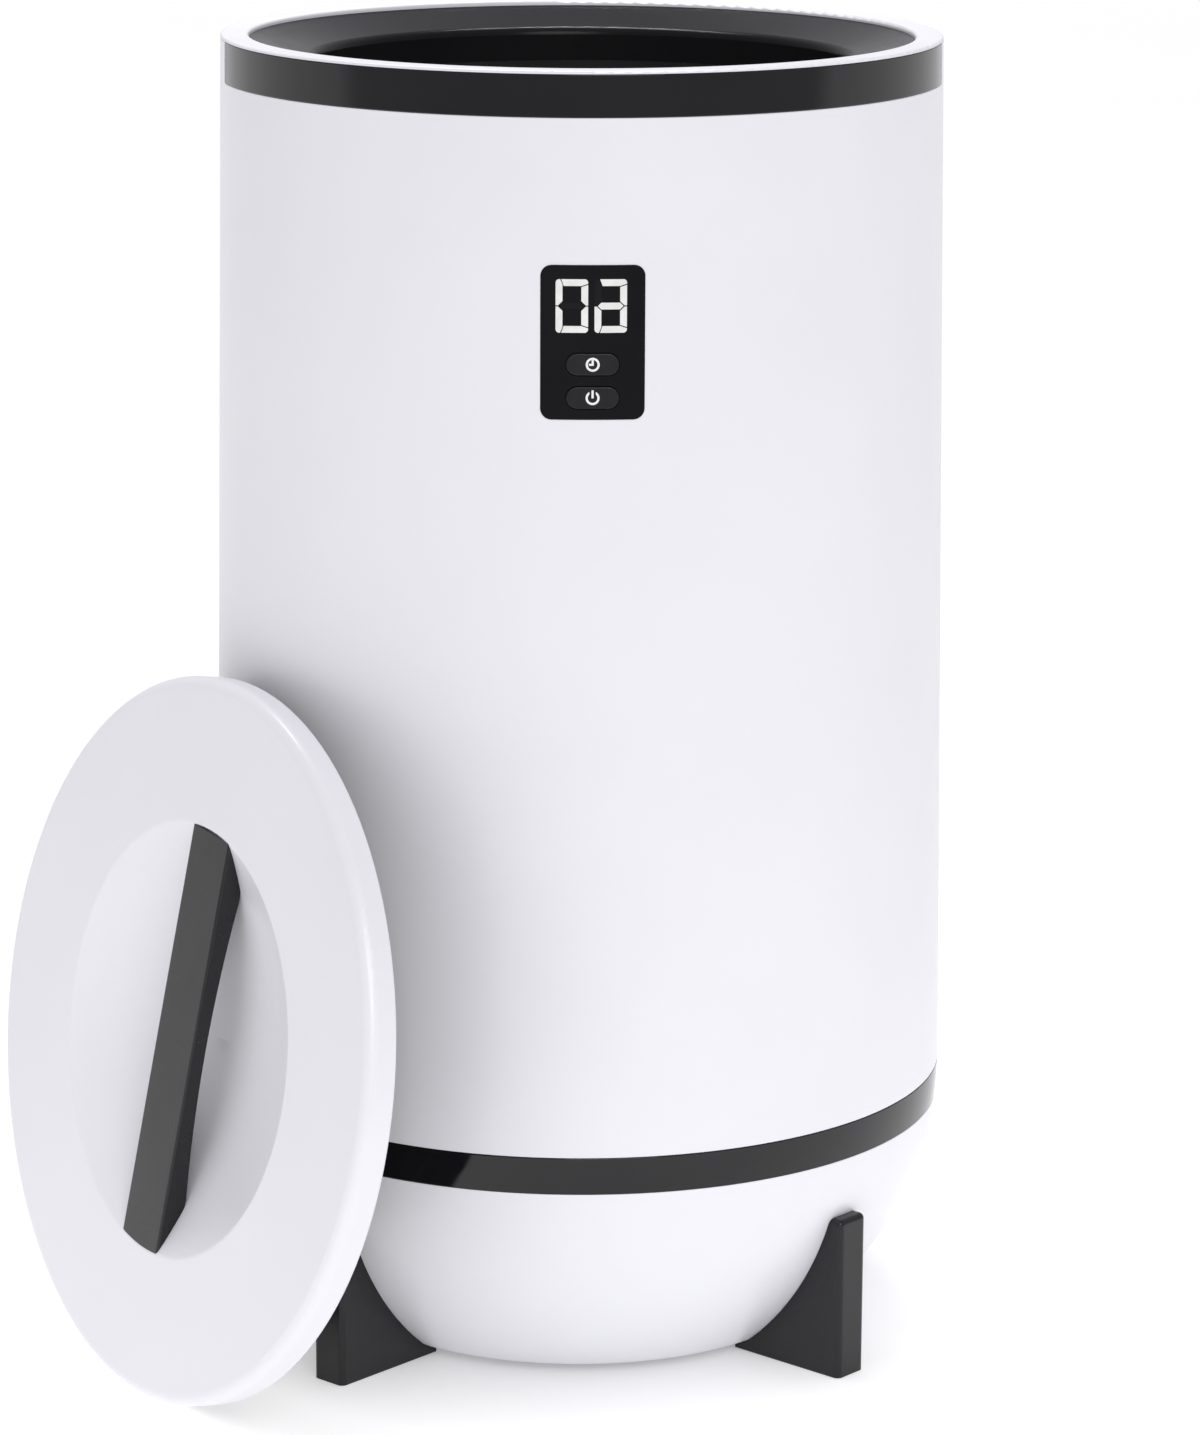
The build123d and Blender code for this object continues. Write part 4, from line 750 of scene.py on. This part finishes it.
# a turned solid's axis and middle: the direction whose spread differs from the other two
def turningAxis(cloud):
    middle = cloud.mean(axis=0)
    spreads, directions = np.linalg.eigh(np.cov((cloud - middle).T))
    column = 2 if spreads[2] - spreads[1] > spreads[1] - spreads[0] else 0
    axis = directions[:, column]
    height = (cloud - middle) @ axis
    radius = np.linalg.norm(cloud - middle - np.outer(height, axis), axis=1)
    return middle, axis, height, radius


screwSettings = {
    "sizes": {"Thread radius": 0.002, "Head radius": 0.0036, "Head height": 0.0025, "Length": 0.012},
    "sides": 28,
    "core": 0.80,  # of the thread's radius
    "turnsPerRadius": 1.4,  # how many thread turns fit in one radius of length
    "ridgeSides": 4,
    "recessLength": 1.15,  # of the head's radius, across the whole cross
    "recessWidth": 0.26,
    "recessDepth": 0.62,  # of the head's height
    "cutterSize": 3.0,  # of the head's radius: the block that takes the dome's lower half off
    "rimShare": 0.97,  # of the head's radius: points further out are the head's rim
    "tipDepth": 0.00001,  # points this near the end are the shank's tip
}


def screwTree(settings):
    tree, given, sizes = startTree("crossHeadScrew", settings["sizes"])
    thread, head, high, length = sizes
    sides = settings["sides"]
    rings = sides // 2 + 1  # odd, so that the cut under the head runs between two rings
    dome = addNode(
        tree, "GeometryNodeMeshUVSphere", {"Segments": sides, "Rings": rings, "Radius": head}
    )
    flatten = calc(tree, "DIVIDE", high, head)
    dome = moved(tree, dome, Scale=along(tree, X=1.0, Y=1.0, Z=flatten))
    width = calc(tree, "MULTIPLY", head, settings["recessWidth"])
    across = calc(tree, "MULTIPLY", head, settings["recessLength"])
    deep = calc(tree, "MULTIPLY", high, 2 * settings["recessDepth"])
    top = along(tree, Z=calc(tree, "MULTIPLY", high, -1.0))
    barX = addNode(tree, "GeometryNodeMeshCube", {"Size": along(tree, X=across, Y=width, Z=deep)})
    barY = addNode(tree, "GeometryNodeMeshCube", {"Size": along(tree, X=width, Y=across, Z=deep)})
    wide = calc(tree, "MULTIPLY", head, settings["cutterSize"])
    below = addNode(tree, "GeometryNodeMeshCube", {"Size": along(tree, X=wide, Y=wide, Z=wide)})
    lowered = calc(tree, "MULTIPLY", head, settings["cutterSize"] / 2)
    below = moved(tree, below, Translation=along(tree, Z=lowered))
    bars = [moved(tree, bar, Translation=top) for bar in (barX, barY)]
    carved = addNode(
        tree,
        "GeometryNodeMeshBoolean",
        {"Mesh 1": dome, "Mesh 2": [*bars, below]},
        operation="DIFFERENCE",
        solver="EXACT",
    )
    core = calc(tree, "MULTIPLY", thread, settings["core"])
    shank = addNode(
        tree, "GeometryNodeMeshCylinder", {"Vertices": sides, "Radius": core, "Depth": length}
    )
    shank = moved(tree, shank, Translation=along(tree, Z=calc(tree, "MULTIPLY", length, 0.5)))
    turns = calc(tree, "MULTIPLY", calc(tree, "DIVIDE", length, thread), settings["turnsPerRadius"])
    ridge = calc(tree, "MULTIPLY", thread, 1 - settings["core"])
    middle = calc(tree, "SUBTRACT", thread, ridge)
    run = calc(tree, "SUBTRACT", length, calc(tree, "MULTIPLY", ridge, 2.0))
    helix = addNode(
        tree,
        "GeometryNodeCurveSpiral",
        {
            "Resolution": sides,
            "Rotations": turns,
            "Start Radius": middle,
            "End Radius": middle,
            "Height": run,
        },
    )
    helix = moved(tree, helix, Translation=along(tree, Z=ridge))
    section = circle(tree, settings["ridgeSides"], ridge)
    winding = swept(tree, helix, section, **{"Fill Caps": True})
    return endTree(tree, given, joined(tree, carved, shank, winding), "Z")


# one seed a screw: where its head sits, and which way its shank points
def screwSeeds(nodeName, settings):
    seeds = []
    for cloud in pointClouds(nodeName):
        middle, axis, height, radius = turningAxis(cloud)
        headRadius = radius.max()
        rim = height[radius > headRadius * settings["rimShare"]]
        if rim.mean() > (height.max() + height.min()) / 2:
            axis, height, rim = -axis, -height, -rim
        threadRadius = radius[height > height.max() - settings["tipDepth"]].max()
        seat = middle + axis * rim.max()
        seeds.append((tuple(seat), tuple(axis)))
        sizes = {
            "Thread radius": float(threadRadius),
            "Head radius": float(headRadius),
            "Head height": float(rim.max() - height.min()),
            "Length": float(height.max() - rim.max()),
        }
    return seeds, sizes


crossHead = screwTree(screwSettings)
for nodeName in sorted(node for node in cadNodes if node.endswith("_screws")):
    seeds, sizes = screwSeeds(nodeName, screwSettings)
    pieceName = nodeName.split("_")[0] + "ScrewSet"
    screws = growPiece(pieceName, crossHead, seeds, sizes, finishes["screw_steel"])
    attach(screws, bodyOf[nodeName])
    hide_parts(nodeName)
    print(screws.name, len(seeds), "screws", len(screws.data.polygons), "faces")


padSettings = {
    "sizes": {"Pad length": 0.03, "Pad width": 0.01, "Pad height": 0.002, "Rib count": 11},
    "ribDepth": 0.0007,
    "ribSides": 16,
    "cornerRadius": 0.0016,
    "cornerCuts": 6,
    "inset": 0.0006,  # of the ribs' ends
    "weld": 0.00001,
}


# rubber pad under a foot: a slab with grip ribs across it
def padTree(settings):
    tree, given, sizes = startTree("ribbedPad", settings["sizes"])
    length, width, height, ribs = sizes
    depth = settings["ribDepth"]
    outline = addNode(
        tree,
        "GeometryNodeFilletCurve",
        {
            "Curve": rectangle(tree, length, width),
            "Radius": settings["cornerRadius"],
            "Count": settings["cornerCuts"],
        },
        mode="POLY",
    )
    sheet = addNode(tree, "GeometryNodeFillCurve", {"Curve": outline}, mode="NGONS")
    tall = calc(tree, "SUBTRACT", height, depth)
    raised = addNode(
        tree, "GeometryNodeExtrudeMesh", {"Mesh": sheet, "Offset Scale": tall, "Individual": False}
    )
    slab = joined(tree, raised, addNode(tree, "GeometryNodeFlipFaces", {"Mesh": sheet}))
    slab = addNode(
        tree, "GeometryNodeMergeByDistance", {"Geometry": slab, "Distance": settings["weld"]}
    )
    slab = moved(tree, slab, Translation=along(tree, Z=depth))
    step = calc(tree, "DIVIDE", length, ribs)
    start = calc(tree, "MULTIPLY", calc(tree, "SUBTRACT", step, length), 0.5)
    row = addNode(
        tree,
        "GeometryNodeMeshLine",
        {"Count": ribs, "Start Location": along(tree, X=start, Z=depth), "Offset": along(tree, X=step)},
    )
    span = calc(tree, "SUBTRACT", width, 2 * settings["inset"])
    bar = addNode(
        tree,
        "GeometryNodeMeshCylinder",
        {"Vertices": settings["ribSides"], "Radius": depth, "Depth": span},
    )
    bar = moved(tree, bar, Rotation=(radians(90), 0, 0))
    return endTree(tree, given, joined(tree, slab, copiedTo(tree, row, bar)), "X")


ribbedPad = padTree(padSettings)
for nodeName in sorted(node for node in cadNodes if node.startswith("foot_pad_")):
    cloud = np.concatenate(pointClouds(nodeName))
    low, high = cloud.min(axis=0), cloud.max(axis=0)
    outwards = np.array([(low + high)[0], (low + high)[1], 0.0])
    outwards /= np.linalg.norm(outwards)
    reach = cloud @ outwards
    aside = cloud @ np.cross((0.0, 0.0, 1.0), outwards)
    centre = outwards * (reach.max() + reach.min()) / 2
    sizes = {
        "Pad length": float(np.ptp(reach)),
        "Pad width": float(np.ptp(aside)),
        "Pad height": float(high[2] - low[2]),
    }
    pieceName = "gripPad" + "".join(word.capitalize() for word in nodeName.split("_")[2:])
    seeds = [((centre[0], centre[1], low[2]), tuple(outwards))]
    pad = growPiece(pieceName, ribbedPad, seeds, sizes, finishes["pad_rubber"])
    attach(pad, bodyOf[nodeName])
    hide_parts(nodeName)
    print(pad.name, len(pad.data.polygons), "faces")


gasketSettings = {
    "sizes": {"Inner radius": 0.104, "Outer radius": 0.106, "Gasket height": 0.006, "Lip count": 3},
    "sides": 192,
    "lipShare": 0.42,  # of the wall
    "lipSides": 12,
}


# ring seal around the lid's plug, with soft lips that wipe the bucket's throat
def gasketTree(settings):
    tree, given, sizes = startTree("lippedGasket", settings["sizes"])
    inner, outer, height, lips = sizes
    wall = calc(tree, "SUBTRACT", outer, inner)
    lip = calc(tree, "MULTIPLY", wall, settings["lipShare"])
    web = calc(tree, "SUBTRACT", wall, lip)
    webMiddle = calc(tree, "ADD", inner, calc(tree, "MULTIPLY", web, 0.5))
    path = circle(tree, settings["sides"], webMiddle)
    band = swept(tree, path, rectangle(tree, web, height))
    edge = circle(tree, settings["sides"], calc(tree, "SUBTRACT", outer, lip))
    ring = swept(tree, edge, circle(tree, settings["lipSides"], lip))
    step = calc(tree, "DIVIDE", height, lips)
    start = calc(tree, "MULTIPLY", calc(tree, "SUBTRACT", step, height), 0.5)
    rows = addNode(
        tree,
        "GeometryNodeMeshLine",
        {"Count": lips, "Start Location": along(tree, Z=start), "Offset": along(tree, Z=step)},
    )
    return endTree(tree, given, joined(tree, band, copiedTo(tree, rows, ring)), "Z")


middle, axis, height, radius = turningAxis(np.concatenate(pointClouds("lid_gasket")))
centre = middle + axis * (height.max() + height.min()) / 2
sizes = {
    "Inner radius": float(radius.min()),
    "Outer radius": float(radius.max()),
    "Gasket height": float(np.ptp(height)),
}
seeds = [(tuple(centre), tuple(axis))]
lippedGasket = gasketTree(gasketSettings)
gasket = growPiece("lidSealRing", lippedGasket, seeds, sizes, finishes["gasket_rubber"])
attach(gasket, bodyOf["lid_gasket"])
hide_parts("lid_gasket")
print(gasket.name, len(gasket.data.polygons), "faces")


handleSettings = {
    "cuts": 58,  # across the handle, so that its underside can bend
    "archRise": 0.0021,  # how much thinner it is in the middle
    "archHalf": 0.05,  # from the middle, where it has its plain thickness again
    "archEnd": 0.062,  # and where it is thickest
    "archTip": 0.0685,  # and where the plain ends start
    "weld": 0.000001,
    "square": 0.01,  # the cosine below which two faces count as square to each other
    "sharpEdge": radians(24),
}


# the directions that faces look in, the one with the most area first
def widestNormals(shape):
    areas = {}
    for face in shape.faces:
        key = tuple(round(part, 3) for part in face.normal)
        areas[key] = areas.get(key, 0) + face.calc_area()
    return [Vector(key).normalized() for key in sorted(areas, key=areas.get, reverse=True)]


# the lid's handle, with room for fingers arched out of its underside
def archHandle(nodeName, settings):
    shape = bmesh.new()
    shape.from_mesh(cadNodes[nodeName].data)
    bmesh.ops.remove_doubles(shape, verts=shape.verts, dist=settings["weld"])
    shape.normal_update()
    normals = widestNormals(shape)
    outwards = normals[0]
    sideways = next(normal for normal in normals if abs(normal @ outwards) < settings["square"])
    lengthways = outwards.cross(sideways)
    level = max(corner.co @ outwards for corner in shape.verts)
    depth = level - min(corner.co @ outwards for corner in shape.verts)
    reach = [corner.co @ lengthways for corner in shape.verts]
    middle = (max(reach) + min(reach)) / 2
    rise, half, end, tip = (settings[key] for key in ("archRise", "archHalf", "archEnd", "archTip"))
    for place in np.linspace(-tip, tip, settings["cuts"]):
        bmesh.ops.bisect_plane(
            shape,
            geom=[*shape.verts, *shape.edges, *shape.faces],
            dist=settings["weld"],
            plane_co=lengthways * float(middle + place),
            plane_no=lengthways,
        )
    for corner in shape.verts:
        distance = abs(corner.co @ lengthways - middle)
        fade = min(1.0, max(0.0, (tip - distance) / (tip - end)))
        squeeze = rise / depth * (1 - (distance / half) ** 2) * fade
        corner.co += outwards * (level - corner.co @ outwards) * squeeze
    mesh = bpy.data.meshes.new("archedHandle")
    shape.to_mesh(mesh)
    shape.free()
    mesh.shade_smooth()
    mesh.set_sharp_from_angle(angle=settings["sharpEdge"])
    mesh.materials.append(finishes["handle_black"])
    handle = bpy.data.objects.new("archedHandle", mesh)
    scene.collection.objects.link(handle)
    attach(handle, bodyOf[nodeName])
    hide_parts(nodeName)
    print(handle.name, len(mesh.polygons), "faces")


archHandle("lid_handle", handleSettings)


floorSettings = {
    "half": 14.0,
    "cloud": (1.5, 2),
    "ramp": [(noiseLow, (0.69, 0.69, 0.70)), (noiseHigh, (0.71, 0.71, 0.715))],
    "roughness": 0.9,
    "specular": 0.2,
    "glow": 0.58,  # the paper is lit from below, as on a light table
    "frontGlow": 0.07,  # what is left of it in front, where the glossy bands mirror the floor
    "glowEnds": (-1.5, -0.7),  # along Y, where the light table fades out
    "glowGap": (0.05, 0.17),  # and painted shade under the bucket, by distance from its axis
}


def layFloor(settings):
    half = settings["half"]
    mesh = bpy.data.meshes.new("studioFloor")
    corners = [(-half, -half, 0), (half, -half, 0), (half, half, 0), (-half, half, 0)]
    mesh.from_pydata(corners, [], [(0, 1, 2, 3)])
    material, tree, shader = startFinish("floorPaper")
    coords = objectCoords(tree)
    tint(tree, shader, noise(tree, coords, *settings["cloud"]), settings["ramp"])
    shader.inputs["Roughness"].default_value = settings["roughness"]
    shader.inputs["Specular IOR Level"].default_value = settings["specular"]
    axes = tree.nodes.new("ShaderNodeSeparateXYZ")
    tree.links.new(coords, axes.inputs["Vector"])
    distance = tree.nodes.new("ShaderNodeVectorMath")
    distance.operation = "LENGTH"
    tree.links.new(coords, distance.inputs[0])
    table = spread(
        tree, axes.outputs["Y"], settings["frontGlow"], settings["glow"], *settings["glowEnds"]
    )
    # painted shade under the bucket: the floor's glow fades out near its axis
    shade = spread(tree, distance.outputs["Value"], 0.0, 1.0, *settings["glowGap"])
    glow = tree.nodes.new("ShaderNodeMath")
    glow.operation = "MULTIPLY"
    tree.links.new(table, glow.inputs[0])
    tree.links.new(shade, glow.inputs[1])
    tree.links.new(glow.outputs["Value"], shader.inputs["Emission Strength"])
    shader.inputs["Emission Color"].default_value = (1, 1, 1, 1)
    mesh.materials.append(material)
    floor = bpy.data.objects.new("studioFloor", mesh)
    scene.collection.objects.link(floor)


layFloor(floorSettings)
print("floor laid")
